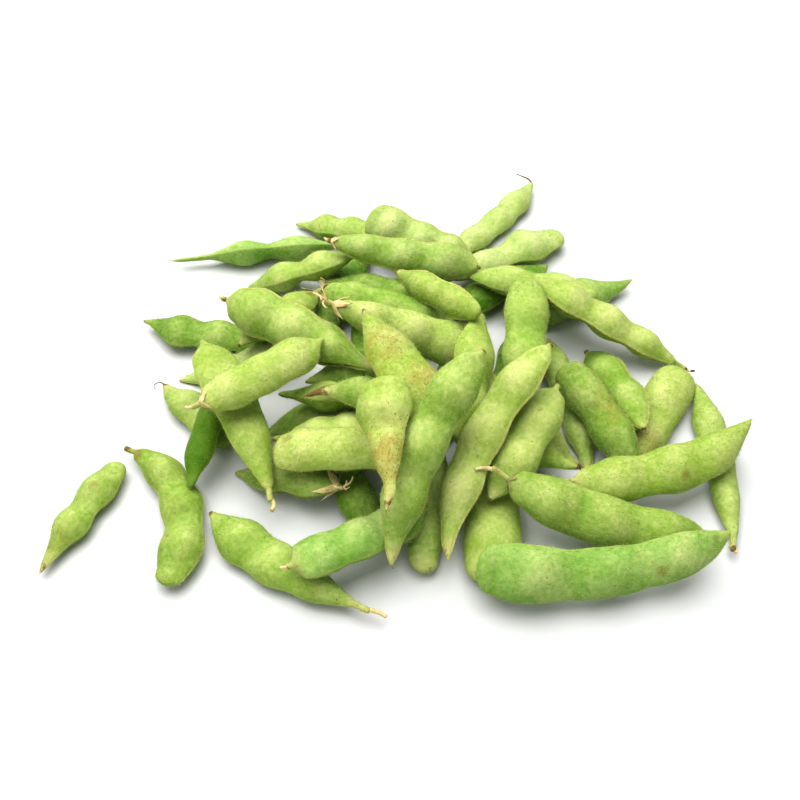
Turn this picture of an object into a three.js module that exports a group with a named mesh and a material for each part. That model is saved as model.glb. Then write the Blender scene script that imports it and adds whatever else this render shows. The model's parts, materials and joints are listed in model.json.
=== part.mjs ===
// A heap of edamame pods: fresh green soybeans in their pods, tipped out loose on a flat surface.
//
// Each pod is one closed body: a short stalk, a seamed shell that swells over every bean, and a pointed
// beak.  Lengths are millimetres, +Z is up, -Y is the front of the heap, and the origin is on the ground
// under the middle of it.
//
// The pods are laid one at a time, from the lowest to the highest.  Each has a place and a heading, is let
// down until it touches what is already there, and rocks and slides a little until it lies as low as it can.

import * as THREE from "three";

// ---------------------------------------------------------------------------------------------------------
// Skins
// ---------------------------------------------------------------------------------------------------------

const skin = (colour) =>
  new THREE.MeshStandardMaterial({ color: colour, roughness: 0.62, metalness: 0 });

const midGreen = () => skin(0x8fb548);
const yellowGreen = () => skin(0xaebd58);
const coolGreen = () => skin(0x86b255);
const paleGreen = () => skin(0xb4cb78);
const deepGreen = () => skin(0x6c9638);

// ---------------------------------------------------------------------------------------------------------
// The pods, from the bottom of the heap to the top
//
// x, y      where the middle of the pod is laid
// heading   degrees from +X, in the ground plane, from the stalk to the beak
// roll      degrees that the shell is turned round its own length
// pitch     degrees that the beak is lifted before the pod comes to rest
// bend      degrees that the pod curves in the plane of its seams, its middle to the left when positive
// arch      degrees that it curves the other way, its middle up
// neck      0 for a stalk end that is full at once, 1 for one that widens slowly
// blunt     0 for a long tapered beak end, 1 for a rounded one
// waist     0 for a smooth outline, 1 for one that is well drawn in between the beans
// flare     how much wider than its middle the shell grows towards the beak, negative for a taper
// side      -1 or 1 to run the beak on from one of the seams, 0 to keep it between them
// ---------------------------------------------------------------------------------------------------------

const usual = {
  roll: 0,
  pitch: 0,
  bend: 0,
  arch: 0,
  stem: 2,
  beak: 4,
  neck: 0.5,
  blunt: 0.5,
  waist: 0.7,
  flare: 0,
  side: 0,
};

const pods = {
  // out of sight under the rest
  under_back_left: {
    skin: deepGreen, beans: 2, x: -22, y: 52, heading: 75,
    length: 50, width: 14, depth: 10, bend: 8, stem: 1.2, beak: 2.5,
  },
  under_back: {
    skin: deepGreen, beans: 3, x: 8, y: 62, heading: 110,
    length: 52, width: 13.5, depth: 10, bend: -8, stem: 1.2, beak: 2.5,
  },
  under_back_right: {
    skin: deepGreen, beans: 2, x: 36, y: 50, heading: 35,
    length: 50, width: 14, depth: 10, stem: 1.2, beak: 2.5,
  },
  under_middle_back: {
    skin: deepGreen, beans: 2, x: 4, y: 22, heading: 80,
    length: 48, width: 14.5, depth: 10.5, stem: 1.2, beak: 2.5,
  },
  under_middle_right: {
    skin: deepGreen, beans: 2, x: 39, y: 9, heading: 72,
    length: 48, width: 14, depth: 10, stem: 1.2, beak: 2.5,
  },
  under_middle: {
    skin: deepGreen, beans: 2, x: 17, y: 2, heading: 84,
    length: 44, width: 9.5, depth: 6.5, stem: 1.2, beak: 2.5,
  },
  under_left: {
    skin: deepGreen, beans: 2, x: -13, y: 22, heading: 88,
    length: 44, width: 10, depth: 7, stem: 1.2, beak: 2.5,
  },
  // two that lie apart, at the left
  left_outer_thin: {
    skin: midGreen, beans: 2, x: -97, y: -46, heading: -112, roll: 15,
    length: 44, width: 10.8, depth: 8.2, bend: -12, stem: 1.5, beak: 6, neck: 0.1, blunt: 0.1, waist: 0.9,
  },
  left_outer_bent: {
    skin: midGreen, beans: 3, x: -69, y: -48, heading: -67,
    length: 60, width: 12.8, depth: 10, bend: 92, stem: 4, beak: 1.5, neck: 1,
    blunt: 1, waist: 1.3, flare: 0.1,
  },
  // on the ground
  left_far: {
    skin: deepGreen, beans: 3, x: -65, y: 26, heading: 170, roll: 15,
    length: 58, width: 13.5, depth: 10, beak: 5, blunt: 0.7, waist: 0.5, side: -0.7,
  },
  left_small: {
    skin: midGreen, beans: 2, x: -67, y: -10, heading: 133,
    length: 38, width: 12, depth: 9, bend: 10, blunt: 0.4, side: 0.5,
  },
  left_shade: {
    skin: deepGreen, beans: 2, x: -62, y: -23, heading: -99, roll: 10,
    length: 38, width: 10.9, depth: 8.2, bend: -10, blunt: 0.3,
  },
  middle_round: {
    skin: deepGreen, beans: 2, x: -23, y: -8, heading: -158, roll: 10,
    length: 46, width: 13.3, depth: 10.1, bend: 10, beak: 3,
  },
  middle_shade: {
    skin: deepGreen, beans: 2, x: -16, y: -37, heading: -67,
    length: 46, width: 12.3, depth: 9.3, bend: -12,
  },
  front_left_shade: {
    skin: deepGreen, beans: 2, x: -32, y: -37, heading: 163, roll: 30, arch: 2,
    length: 40, width: 13.5, depth: 10, bend: -15,
  },
  front_left_long: {
    skin: midGreen, beans: 3, x: -38, y: -65, heading: 147,
    length: 60, width: 14.5, depth: 10.5, bend: 22, stem: 5, neck: 2, blunt: 0.6, waist: 0.8,
  },
  front_stub: {
    skin: midGreen, beans: 2, x: 9, y: -46, heading: -97,
    length: 48, width: 10.5, depth: 9, beak: 1.2, blunt: 1,
  },
  front_wide: {
    skin: yellowGreen, beans: 2, x: 28, y: -50, heading: -93,
    length: 52, width: 17, depth: 12, bend: 15, beak: 1.2, neck: 1.4, blunt: 1, waist: 0.3,
  },
  right_low: {
    skin: midGreen, beans: 3, x: 102, y: -26, heading: 88,
    length: 66, width: 10.5, depth: 8.5, bend: -6, stem: 5, neck: 1.6, blunt: 0.4, waist: 0.6,
  },
  right_round: {
    skin: yellowGreen, beans: 2, x: 86, y: -10, heading: 59,
    length: 50, width: 14.5, depth: 11, beak: 1.2, neck: 1, blunt: 1, waist: 0.4, flare: 0.3,
  },
  right_narrow: {
    skin: midGreen, beans: 3, x: 54, y: -2, heading: -79, roll: 25,
    length: 58, width: 9.6, depth: 7.8, bend: 16, beak: 5, neck: 0.4, blunt: 0.3, waist: 0.3,
  },
  right_fuzzy: {
    skin: deepGreen, beans: 2, x: 66, y: -14, heading: -64, roll: 25,
    length: 46, width: 13, depth: 10.5, bend: 8, stem: 1.2, neck: 0, blunt: 0.4, waist: 0.5,
  },
  right_ridge: {
    skin: midGreen, beans: 2, x: 69, y: -5, heading: -81, roll: 15,
    length: 50, width: 12.5, depth: 10, bend: 15, beak: 3, waist: 1,
  },
  middle_tip: {
    skin: yellowGreen, beans: 2, x: 40, y: -11, heading: -41,
    length: 46, width: 11.4, depth: 9.3, blunt: 0.2,
  },
  middle_low: {
    skin: yellowGreen, beans: 2, x: 41, y: -21, heading: -26, roll: 15,
    length: 40, width: 11.4, depth: 8.6, blunt: 0.2,
  },
  back_right_flat: {
    skin: coolGreen, beans: 2, x: 61, y: 44, heading: 21, roll: 20,
    length: 54, width: 14, depth: 9.5, bend: -6, beak: 6, blunt: 0, waist: 0,
  },
  back_right_round: {
    skin: paleGreen, beans: 2, x: 43, y: 70, heading: 32, roll: -5, pitch: 5,
    length: 55, width: 14, depth: 10.5, bend: 8, beak: 1.5, blunt: 1, waist: 0.9, flare: 0.4,
  },
  back_right_up: {
    skin: paleGreen, beans: 3, x: 39, y: 92, heading: 52,
    length: 59, width: 12, depth: 9, bend: -22, beak: 5, neck: 0.4, waist: 0.8,
  },
  back_left_small: {
    skin: midGreen, beans: 3, x: -19, y: 82, heading: 154, roll: 20, arch: 4,
    length: 50, width: 13.8, depth: 10.4, bend: -8, beak: 5, blunt: 0.3,
  },
  back_left_long: {
    skin: coolGreen, beans: 2, x: -50, y: 72, heading: -173, roll: 40, arch: 2,
    length: 66, width: 14, depth: 10.5, bend: 8, beak: 12, blunt: 0, waist: 1,
  },
  back_shade: {
    skin: deepGreen, beans: 2, x: -5, y: 39, heading: 163, pitch: -5,
    length: 48, width: 12.3, depth: 9.3,
  },
  // half way up
  left_pale: {
    skin: paleGreen, beans: 2, x: -56, y: 15, heading: -170,
    length: 42, width: 12, depth: 9, bend: 14, beak: 5, blunt: 0.4,
  },
  left_hang: {
    skin: yellowGreen, beans: 2, x: -55, y: -18, heading: 118, roll: -5, arch: 2,
    length: 60, width: 17, depth: 11, bend: -14, stem: 4, beak: 3, neck: 2, blunt: 1, waist: 0.4,
  },
  middle_back: {
    skin: deepGreen, beans: 2, x: -8, y: 4, heading: -159, arch: 2,
    length: 46, width: 12.8, depth: 9.7,
  },
  middle_pale: {
    skin: midGreen, beans: 2, x: -14, y: -10, heading: 174, roll: 45, pitch: -20, arch: 2,
    length: 48, width: 13.8, depth: 10.4, bend: -14, beak: 3, blunt: 0.3,
  },
  left_behind: {
    skin: yellowGreen, beans: 3, x: -15, y: -25, heading: 2, roll: 5, pitch: 10, arch: 4,
    length: 48, width: 12.3, depth: 9.3, stem: 5, neck: 0.8,
  },
  back_left_middle: {
    skin: midGreen, beans: 2, x: -35, y: 51, heading: 174, roll: 30, arch: 2,
    length: 46, width: 14.7, depth: 11.2, beak: 3,
  },
  left_clump: {
    skin: yellowGreen, beans: 2, x: -42, y: 26, heading: -124, roll: 5, pitch: 10, arch: 2,
    length: 46, width: 13.3, depth: 10.1, stem: 4,
  },
  back_middle: {
    skin: midGreen, beans: 3, x: -1, y: 37, heading: -23, roll: 20, pitch: -5, arch: 4,
    length: 50, width: 13, depth: 10, beak: 3, neck: 0.4, blunt: 0.9, waist: 0.5,
  },
  back_middle_low: {
    skin: yellowGreen, beans: 3, x: 4, y: 8, heading: -4, roll: 45, arch: 4,
    length: 58, width: 14, depth: 10.5, bend: -10, stem: 4, beak: 1.5,
    neck: 1.2, blunt: 1, waist: 0.5, flare: 0.4,
  },
  middle_wide: {
    skin: yellowGreen, beans: 2, x: 38, y: -31, heading: -122, arch: 2,
    length: 46, width: 14.5, depth: 10.5, beak: 3, neck: 0.6,
  },
  front_left_pale: {
    skin: coolGreen, beans: 3, x: -12, y: -65, heading: 27, roll: -5, pitch: -5, arch: 4,
    length: 46, width: 14.5, depth: 10.5, bend: -10, stem: 1.2, beak: 3, neck: 0, blunt: 0.7, waist: 0.25,
  },
  middle_behind: {
    skin: yellowGreen, beans: 2, x: 22, y: -8, heading: 80, roll: 30, arch: 2,
    length: 50, width: 15.2, depth: 11.4, beak: 3, blunt: 0.4,
  },
  back_right_middle: {
    skin: midGreen, beans: 2, x: 48, y: 43, heading: 167, roll: 8, arch: 2,
    length: 50, width: 13.8, depth: 10.4, beak: 3,
  },
  back_right_long: {
    skin: yellowGreen, beans: 3, x: 70, y: 29, heading: 154, roll: 35, pitch: 15, arch: 4,
    length: 62, width: 15.5, depth: 11.2, stem: 5, beak: 1.5, neck: 1.5, blunt: 1,
  },
  // on top
  left_split: {
    skin: midGreen, beans: 3, x: -33, y: 15, heading: -21, roll: 30, pitch: -5, arch: 4,
    length: 60, width: 15, depth: 11, bend: 10, beak: 6, neck: 0.7, blunt: 0.3, waist: 0.5, flare: -0.35,
  },
  left_cross: {
    skin: yellowGreen, beans: 3, x: -45, y: -11, heading: 34, arch: 4,
    length: 48, width: 13.5, depth: 9.5, bend: -12, stem: 3, neck: 0.6, blunt: 0.9, waist: 0.3,
  },
  middle_twist: {
    skin: deepGreen, beans: 2, x: -5, y: -18, heading: 174, roll: 8, arch: 2,
    length: 44, width: 11.5, depth: 9, beak: 8,
  },
  left_blunt: {
    skin: yellowGreen, beans: 3, x: -15, y: -32, heading: -180, roll: 20, pitch: -5, arch: 4,
    length: 46, width: 15, depth: 11.5, beak: 1.2, neck: 0, blunt: 1, waist: 0,
  },
  right_long: {
    skin: yellowGreen, beans: 3, x: 82, y: -34, heading: 16, roll: 5, pitch: -5, arch: 4,
    length: 68, width: 15, depth: 10.5, bend: -34, beak: 3, blunt: 0, waist: 0.9, flare: 0.15, side: 0.5,
  },
  back_edge: {
    skin: yellowGreen, beans: 2, x: 14, y: 22, heading: 129, roll: -65, pitch: 5, arch: 2,
    length: 48, width: 10, depth: 7.5, beak: 5, blunt: 0.3, waist: 0.5,
  },
  back_right_upright: {
    skin: midGreen, beans: 2, x: 42, y: 13, heading: 75, roll: 5, pitch: 5, arch: 2,
    length: 46, width: 15, depth: 10.5, beak: 1.5, blunt: 1,
  },
  crest_long: {
    skin: yellowGreen, beans: 3, x: 24, y: -27, heading: -119, roll: 40, pitch: -25, arch: 4,
    length: 76, width: 13.5, depth: 10.5, bend: -42, stem: 1.2, beak: 7, neck: 0.4, blunt: 0.3, waist: 0.8,
  },
  front_right_long: {
    skin: midGreen, beans: 3, x: 61, y: -44, heading: -13, roll: 25, arch: 4,
    length: 71, width: 15.5, depth: 11, bend: -30, stem: 6, beak: 2, neck: 1.1,
    blunt: 0.9, waist: 0.2, flare: -0.3,
  },
  front_big: {
    skin: coolGreen, beans: 3, x: 52, y: -65, heading: 4, roll: 15, arch: 4,
    length: 77, width: 16.5, depth: 12, bend: -38, stem: 1.2, beak: 3, neck: 0,
    blunt: 0.8, waist: 1.3, flare: -0.35,
  },
  crest_triangle: {
    skin: yellowGreen, beans: 2, x: 1, y: -16, heading: 117, roll: 5, pitch: 15, arch: 2,
    length: 50, width: 16.5, depth: 10.5, stem: 1.2, beak: 3, blunt: 0, waist: 0, flare: -0.55,
  },
  crest_left: {
    skin: midGreen, beans: 3, x: 6, y: -38, heading: -119, roll: 10, pitch: -10, arch: 4,
    length: 68, width: 13.5, depth: 9.8, bend: -35, stem: 1.2, beak: 5, neck: 0.3, blunt: 0.3, waist: 0.9,
  },
  crest_front: {
    skin: yellowGreen, beans: 2, x: 1, y: -37, heading: -84, pitch: -15, arch: 2,
    length: 43, width: 14, depth: 10, stem: 1.2, beak: 7, neck: 0, blunt: 0, waist: 0.9, flare: -0.55,
  },
  crown_back: {
    skin: paleGreen, beans: 3, x: 7, y: 66, heading: -24, roll: 45, pitch: 5, arch: 4,
    length: 48, width: 15.5, depth: 11, bend: -14, stem: 1.2, neck: 0,
  },
  crown_long: {
    skin: paleGreen, beans: 3, x: 4, y: 51, heading: -3, roll: 40, arch: 4,
    length: 56, width: 12, depth: 9.4, bend: -8, beak: 2, neck: 1, blunt: 0.8, flare: 0.35,
  },
};

// ---------------------------------------------------------------------------------------------------------
// One pod
// ---------------------------------------------------------------------------------------------------------

// The section has its two seams at 0 and 180 degrees and three corners over each cheek.
const CORNERS = [0, 60, 90, 120, 180, 240, 270, 300];

// Places along the shell, as shares of its length: where the beans are, and where the rings go.
const BEANS = {
  2: { at: [0.29, 0.68], reach: 0.14 },
  3: { at: [0.21, 0.5, 0.78], reach: 0.1 },
};
const RINGS = {
  2: [0.04, 0.13, 0.24, 0.34, 0.49, 0.63, 0.73, 0.84, 0.94],
  3: [0.04, 0.1, 0.175, 0.245, 0.355, 0.465, 0.535, 0.64, 0.745, 0.815, 0.89, 0.95],
};

const DEGREE = Math.PI / 180;

function ease(from, to, value) {
  const t = Math.min(1, Math.max(0, (value - from) / (to - from)));
  return t * t * (3 - 2 * t);
}

// How far the shell is swollen by the nearest bean, 0 to 1.
function swellAt(share, beans) {
  const bumps = beans.at.map((centre) => Math.exp(-(((share - centre) / beans.reach) ** 2)));
  return Math.max(...bumps);
}

// The rings of a pod from stalk to beak: distance along it, half its width and depth, and how far its middle
// lies aside towards one seam.
function ringsOf(pod) {
  const shell = pod.length - pod.stem - pod.beak;
  const beans = BEANS[pod.beans];
  const stemReach = 0.13 + 0.27 * pod.neck;
  const beakReach = 0.36 - 0.2 * pod.blunt;
  const stemDepth = 0.6 + 0.25 * Math.max(0, pod.neck - 1);
  const body = RINGS[pod.beans].map((share) => {
    const swell = swellAt(share, beans);
    const stemEnd = 1 - stemDepth * Math.max(0, 1 - (share + 0.02) / stemReach) ** 2;
    const nearBeak = Math.max(0, (share - 1 + beakReach) / beakReach);
    const beakEnd = 1 - (0.8 - 0.22 * pod.blunt) * nearBeak ** (1.3 + 0.9 * pod.blunt);
    const full = stemEnd * beakEnd;
    const closed = 0.35 + 0.65 * ease(-0.08, 0.16, share) * ease(1.08, 0.82, share);
    const drawnIn = 1 - 0.13 * pod.waist * (1 - swell);
    const flatter = 1 - 0.38 * (0.35 + 0.65 * pod.waist) * (1 - swell);
    const half = (pod.width / 2) * full * drawnIn * (1 + pod.flare * (share - 0.5));
    const deep = (pod.depth / 2) * Math.sqrt(full) * flatter * (1 + 0.6 * pod.flare * (share - 0.5));
    return {
      along: pod.stem + shell * share + 0.6,
      half,
      thick: deep * closed,
      aside: pod.side * (pod.width / 2 - half) * ease(0.5, 0.95, share),
    };
  });
  const [first] = body;
  const stalk = [
    { along: 0, half: 0.8, thick: 0.8, aside: 0 },
    { along: pod.stem, half: 1, thick: 1, aside: 0 },
    {
      along: pod.stem + 1.2,
      half: Math.min(2.4, 0.8 * first.half),
      thick: Math.min(2.1, 0.8 * first.thick),
      aside: 0,
    },
  ];
  const reach = pod.side * (pod.width / 2 - 1.5);
  const tip = [
    { along: pod.length - pod.beak * 0.6, half: 1.5, thick: 1.1, aside: reach * 0.9 },
    { along: pod.length - pod.beak * 0.15, half: 0.6, thick: 0.6, aside: reach },
  ];
  return [...stalk, ...body, ...tip];
}

// The midline of a pod: a shallow arc in the plane of the seams, with a shallower one across it.
function midline(pod, along) {
  const share = along / pod.length - 0.5;
  const bend = pod.bend * DEGREE;
  const arch = pod.arch * DEGREE;
  const side = -bend * share;
  const rise = -arch * share;
  const curved = Math.abs(bend) > 0.001;
  return {
    side,
    rise,
    x: curved ? (-pod.length / bend) * Math.sin(side) : share * pod.length,
    y: curved ? (pod.length / bend) * (Math.cos(side) - Math.cos(bend / 3.46)) : 0,
    z: arch ? (pod.length / arch) * (Math.cos(rise) - Math.cos(arch / 3.46)) : 0,
  };
}

// The corners and triangles of a pod with its midline along +X, its seams at +Y and -Y, and the point
// that its weight acts through.
function shapeOf(pod) {
  const rings = ringsOf(pod);
  const points = [];
  const put = (along, across, up) => {
    const c = midline(pod, along);
    points.push([
      c.x - across * Math.sin(c.side) - up * Math.sin(c.rise),
      c.y + across * Math.cos(c.side),
      c.z + up * Math.cos(c.rise),
    ]);
  };
  put(-0.25, 0, 0);
  for (const ring of rings) {
    for (const corner of CORNERS) {
      const sine = Math.sin(corner * DEGREE);
      const up = ring.thick * Math.sign(sine) * Math.abs(sine) ** 0.65;
      put(ring.along, ring.half * Math.cos(corner * DEGREE) + ring.aside, up);
    }
  }
  put(pod.length, pod.side * (pod.width / 2 - 1.5), 0);

  const faces = [];
  const n = CORNERS.length;
  const last = points.length - 1;
  for (let k = 0; k < n; k++) {
    const next = (k + 1) % n;
    faces.push([0, 1 + next, 1 + k]);
    for (let r = 0; r < rings.length - 1; r++) {
      const a = 1 + r * n + k;
      const b = 1 + r * n + next;
      if (k % 2) {
        faces.push([a, b, b + n], [a, b + n, a + n]);
      } else {
        faces.push([a, b, a + n], [b, b + n, a + n]);
      }
    }
    faces.push([last, last - n + k, last - n + next]);
  }

  const weight = [0, 0, 0];
  let total = 0;
  for (let r = 1; r < rings.length - 1; r++) {
    const slice = rings[r].half * rings[r].thick * (rings[r + 1].along - rings[r - 1].along);
    const c = midline(pod, rings[r].along);
    weight[0] += slice * c.x;
    weight[1] += slice * c.y;
    weight[2] += slice * c.z;
    total += slice;
  }
  return { points, faces, middle: weight.map((w) => w / total) };
}

// ---------------------------------------------------------------------------------------------------------
// Letting the pods down
// ---------------------------------------------------------------------------------------------------------

const CELL = 0.5; // of the map of how high the heap stands
const REACH = 150; // of that map, from the middle
const COLUMNS = (2 * REACH) / CELL;
const AIR = 0.3; // left under a pod that lies on another
const SINK = 0.5; // how far a soft shell flattens where it lies on the ground

// The height of the heap over each cell, spread by one cell so that pods side by side don't touch.
const heights = new Float32Array(COLUMNS * COLUMNS);

// The pod's points with its weight's middle over (x, y) and at height 0.
function turned(shape, pose) {
  const [cy, sy] = [Math.cos(pose.yaw), Math.sin(pose.yaw)];
  const [cp, sp] = [Math.cos(pose.pitch), Math.sin(pose.pitch)];
  const [cr, sr] = [Math.cos(pose.roll), Math.sin(pose.roll)];
  return shape.points.map((point) => {
    const a = point[0] - shape.middle[0];
    const b = point[1] - shape.middle[1];
    const c = point[2] - shape.middle[2];
    const across = b * cr - c * sr;
    const up = b * sr + c * cr;
    const along = a * cp - up * sp;
    return [pose.x + along * cy - across * sy, pose.y + along * sy + across * cy, a * sp + up * cp];
  });
}

// Calls visit(cell, height) for every cell that the triangles facing up, or down, pass over.
function sweep(points, faces, facingDown, visit) {
  const cellOf = (value) => (value + REACH) / CELL - 0.5;
  for (const [i, j, k] of faces) {
    const [A, B, C] = [points[i], points[j], points[k]];
    const area = (B[0] - A[0]) * (C[1] - A[1]) - (B[1] - A[1]) * (C[0] - A[0]);
    if (facingDown ? area > -1e-6 : area < 1e-6) continue;
    const x0 = Math.max(0, Math.ceil(cellOf(Math.min(A[0], B[0], C[0]))));
    const x1 = Math.min(COLUMNS - 1, Math.floor(cellOf(Math.max(A[0], B[0], C[0]))));
    const y0 = Math.max(0, Math.ceil(cellOf(Math.min(A[1], B[1], C[1]))));
    const y1 = Math.min(COLUMNS - 1, Math.floor(cellOf(Math.max(A[1], B[1], C[1]))));
    for (let row = y0; row <= y1; row++) {
      const y = (row + 0.5) * CELL - REACH;
      for (let column = x0; column <= x1; column++) {
        const x = (column + 0.5) * CELL - REACH;
        const b = ((x - A[0]) * (C[1] - A[1]) - (y - A[1]) * (C[0] - A[0])) / area;
        const c = ((B[0] - A[0]) * (y - A[1]) - (B[1] - A[1]) * (x - A[0])) / area;
        if (b < -1e-9 || c < -1e-9 || b + c > 1 + 1e-9) continue;
        visit(row * COLUMNS + column, A[2] + b * (B[2] - A[2]) + c * (C[2] - A[2]));
      }
    }
  }
}

// How high the middle of the pod stands when it is let down in this pose.
function standing(shape, points) {
  let high = -SINK - Math.min(...points.map((point) => point[2]));
  sweep(points, shape.faces, true, (cell, under) => {
    if (heights[cell] > 0) high = Math.max(high, heights[cell] + AIR - under);
  });
  return high;
}

// Rocks, rolls, slides and turns the pod in smaller and smaller steps while that lowers it.  Sliding and
// turning cost a little, because the pods are rough and hairy.
function comeToRest(shape, pod) {
  const poseOf = (move) => ({
    pitch: pod.pitch * DEGREE + move[0],
    roll: pod.roll * DEGREE + move[1],
    x: pod.x + move[2],
    y: pod.y + move[3],
    yaw: pod.heading * DEGREE + move[4],
  });
  const costOf = (move) => {
    const pose = poseOf(move);
    const rubbing = 0.055 * (move[2] ** 2 + move[3] ** 2) + 40 * move[4] ** 2 + 2.5 * move[1] ** 2;
    const steep = 90 * Math.max(0, Math.abs(pose.pitch) - 0.55) ** 2;
    return standing(shape, turned(shape, pose)) + rubbing + steep;
  };
  let move = [0, 0, 0, 0, 0];
  let cost = costOf(move);
  let steps = [8 * DEGREE, 8 * DEGREE, 2, 2, 4 * DEGREE];
  for (let pass = 0; pass < 6; pass++) {
    for (let again = 0; again < 6; again++) {
      const before = cost;
      for (let k = 0; k < steps.length; k++) {
        for (const way of [1, -1]) {
          const trial = move.slice();
          trial[k] += way * steps[k];
          const trialCost = costOf(trial);
          if (trialCost < cost - 1e-4) {
            cost = trialCost;
            move = trial;
            break;
          }
        }
      }
      if (cost === before) break;
    }
    steps = steps.map((step) => step / 2);
  }
  return poseOf(move);
}

// Adds a pod that has come to rest to the map of heights.
function pileUp(points, faces) {
  sweep(points, faces, false, (cell, height) => {
    const column = cell % COLUMNS;
    const row = Math.floor(cell / COLUMNS);
    for (let r = Math.max(0, row - 1); r <= Math.min(COLUMNS - 1, row + 1); r++) {
      for (let c = Math.max(0, column - 1); c <= Math.min(COLUMNS - 1, column + 1); c++) {
        heights[r * COLUMNS + c] = Math.max(heights[r * COLUMNS + c], height);
      }
    }
  });
}

function layDown(pod) {
  const shape = shapeOf(pod);
  const points = turned(shape, comeToRest(shape, pod));
  const high = standing(shape, points);
  for (const point of points) {
    point[2] = Math.max(0, point[2] + high);
  }
  pileUp(points, shape.faces);
  return { points, faces: shape.faces };
}

// ---------------------------------------------------------------------------------------------------------
// The heap
// ---------------------------------------------------------------------------------------------------------

const laid = Object.entries(pods).map(([name, settings]) => {
  const pod = { ...usual, ...settings };
  return { name: "pod_" + name, skin: pod.skin, ...layDown(pod) };
});

const box = new THREE.Box3();
for (const { points } of laid) {
  for (const point of points) {
    box.expandByPoint(new THREE.Vector3(...point));
  }
}
const middle = box.getCenter(new THREE.Vector3());

const group = new THREE.Group();
group.name = "edamame_pod_heap";
for (const { name, skin: paint, points, faces } of laid) {
  const geometry = new THREE.BufferGeometry();
  const corners = points.flatMap(([x, y, z]) => [x - middle.x, y - middle.y, z]);
  geometry.setAttribute("position", new THREE.Float32BufferAttribute(corners, 3));
  geometry.setIndex(faces.flat());
  geometry.computeVertexNormals();
  const mesh = new THREE.Mesh(geometry, paint());
  mesh.name = name;
  group.add(mesh);
}

export default group;
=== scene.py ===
# %% [markdown]
# # A heap of edamame pods
#
# The heap is some five dozen fresh soybean pods that lie loose over one another.  The imported model already
# says where each pod lies, how long it is and how it bends, as a faceted solid of eight sides.  This lesson
# dresses each of those solids: a smooth downy shell with a seam along both edges, a dry calyx round the
# stalk, a withered thread at the beak, and short pale hairs all over.
#
# Everything is in metres, in the frame of the imported model.

# %% Load the frame
import json
import math
import random

import bmesh
import bpy
from mathutils import Matrix, Vector, noise


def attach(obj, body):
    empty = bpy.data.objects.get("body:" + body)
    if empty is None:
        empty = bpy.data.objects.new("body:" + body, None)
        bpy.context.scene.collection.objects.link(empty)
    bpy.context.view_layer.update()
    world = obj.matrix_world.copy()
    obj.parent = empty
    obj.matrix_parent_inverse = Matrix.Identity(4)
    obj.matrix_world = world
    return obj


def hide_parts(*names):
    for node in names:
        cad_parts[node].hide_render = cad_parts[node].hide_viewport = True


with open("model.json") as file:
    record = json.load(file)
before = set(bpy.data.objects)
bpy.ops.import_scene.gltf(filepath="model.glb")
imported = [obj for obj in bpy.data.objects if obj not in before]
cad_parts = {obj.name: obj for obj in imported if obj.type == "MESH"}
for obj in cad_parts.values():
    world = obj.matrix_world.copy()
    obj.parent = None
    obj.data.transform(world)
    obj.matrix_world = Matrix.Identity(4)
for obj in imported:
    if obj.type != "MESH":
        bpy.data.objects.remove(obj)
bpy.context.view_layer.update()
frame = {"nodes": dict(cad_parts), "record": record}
MM = 0.001
pods = sorted(frame["nodes"])
slot_of = {part["node"]: part["material_slot"] for part in frame["record"]["subparts"]}

# %% [markdown]
# ## Camera
#
# The heap is seen from in front and well above, by a short telephoto lens.  It is easier to say what the
# camera looks at, how far off it is and how steeply it looks down than to write a place and three angles.
# A camera looks along its own -Z, so `to_track_quat` turns that axis to the target and keeps +Y up.

# %% Camera
LOOK_AT = Vector((-3.3, -17.8, 0)) * MM
LOOK_DOWN = math.radians(50)
DISTANCE = 310 * MM
FOCAL_LENGTH = 40.5  # on a sensor 36 mm wide

camera_data = bpy.data.cameras.new("camera")
camera_data.lens = FOCAL_LENGTH
camera_data.clip_start = 10 * MM
camera = bpy.data.objects.new("camera", camera_data)
bpy.context.scene.collection.objects.link(camera)
back = Vector((0, -math.cos(LOOK_DOWN), math.sin(LOOK_DOWN)))
camera.location = LOOK_AT + DISTANCE * back
camera.rotation_euler = (-back).to_track_quat("-Z", "Y").to_euler()
bpy.context.scene.camera = camera
print("camera at", [round(v / MM) for v in camera.location], "mm")

# %% [markdown]
# ## Light
#
# The heap lies under very soft, bright light: the tops of the pods are pale, their sides keep a strong
# green, and only the gaps between them go dark.  A bright even world gives the soft fill, one broad lamp
# over the far side gives the pale tops, and a weaker one from the front left opens the shadows.  `Standard`
# shows the colours as they are, where the default view would grey them.  A gamma under 1 deepens the dark
# greens.

# %% Light
WORLD_STRENGTH = 0.37
VIEW_GAMMA = 0.87
VIEW_EXPOSURE = 0.10
LAMPS = {
    "overhead": {"at": (-0.12, 0.20, 0.80), "size": 1.0, "watts": 14.0},
    "front_left": {"at": (-0.5, -0.6, 0.6), "size": 0.6, "watts": 1.1},
}

scene = bpy.context.scene
scene.view_settings.view_transform = "Standard"
scene.view_settings.look = "None"
scene.view_settings.gamma = VIEW_GAMMA
scene.view_settings.exposure = VIEW_EXPOSURE

world = bpy.data.worlds.new("soft_white")
world.use_nodes = True
world.node_tree.nodes["Background"].inputs["Color"].default_value = (1.0, 1.0, 1.0, 1)
world.node_tree.nodes["Background"].inputs["Strength"].default_value = WORLD_STRENGTH
scene.world = world

for name, lamp in LAMPS.items():
    data = bpy.data.lights.new(name, "AREA")
    data.size = lamp["size"]
    data.energy = lamp["watts"]
    lamp_object = bpy.data.objects.new(name, data)
    lamp_object.location = lamp["at"]
    lamp_object.rotation_euler = (LOOK_AT - lamp_object.location).to_track_quat("-Z", "Y").to_euler()
    scene.collection.objects.link(lamp_object)
print(len(LAMPS), "lamps and an even world")
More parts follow.
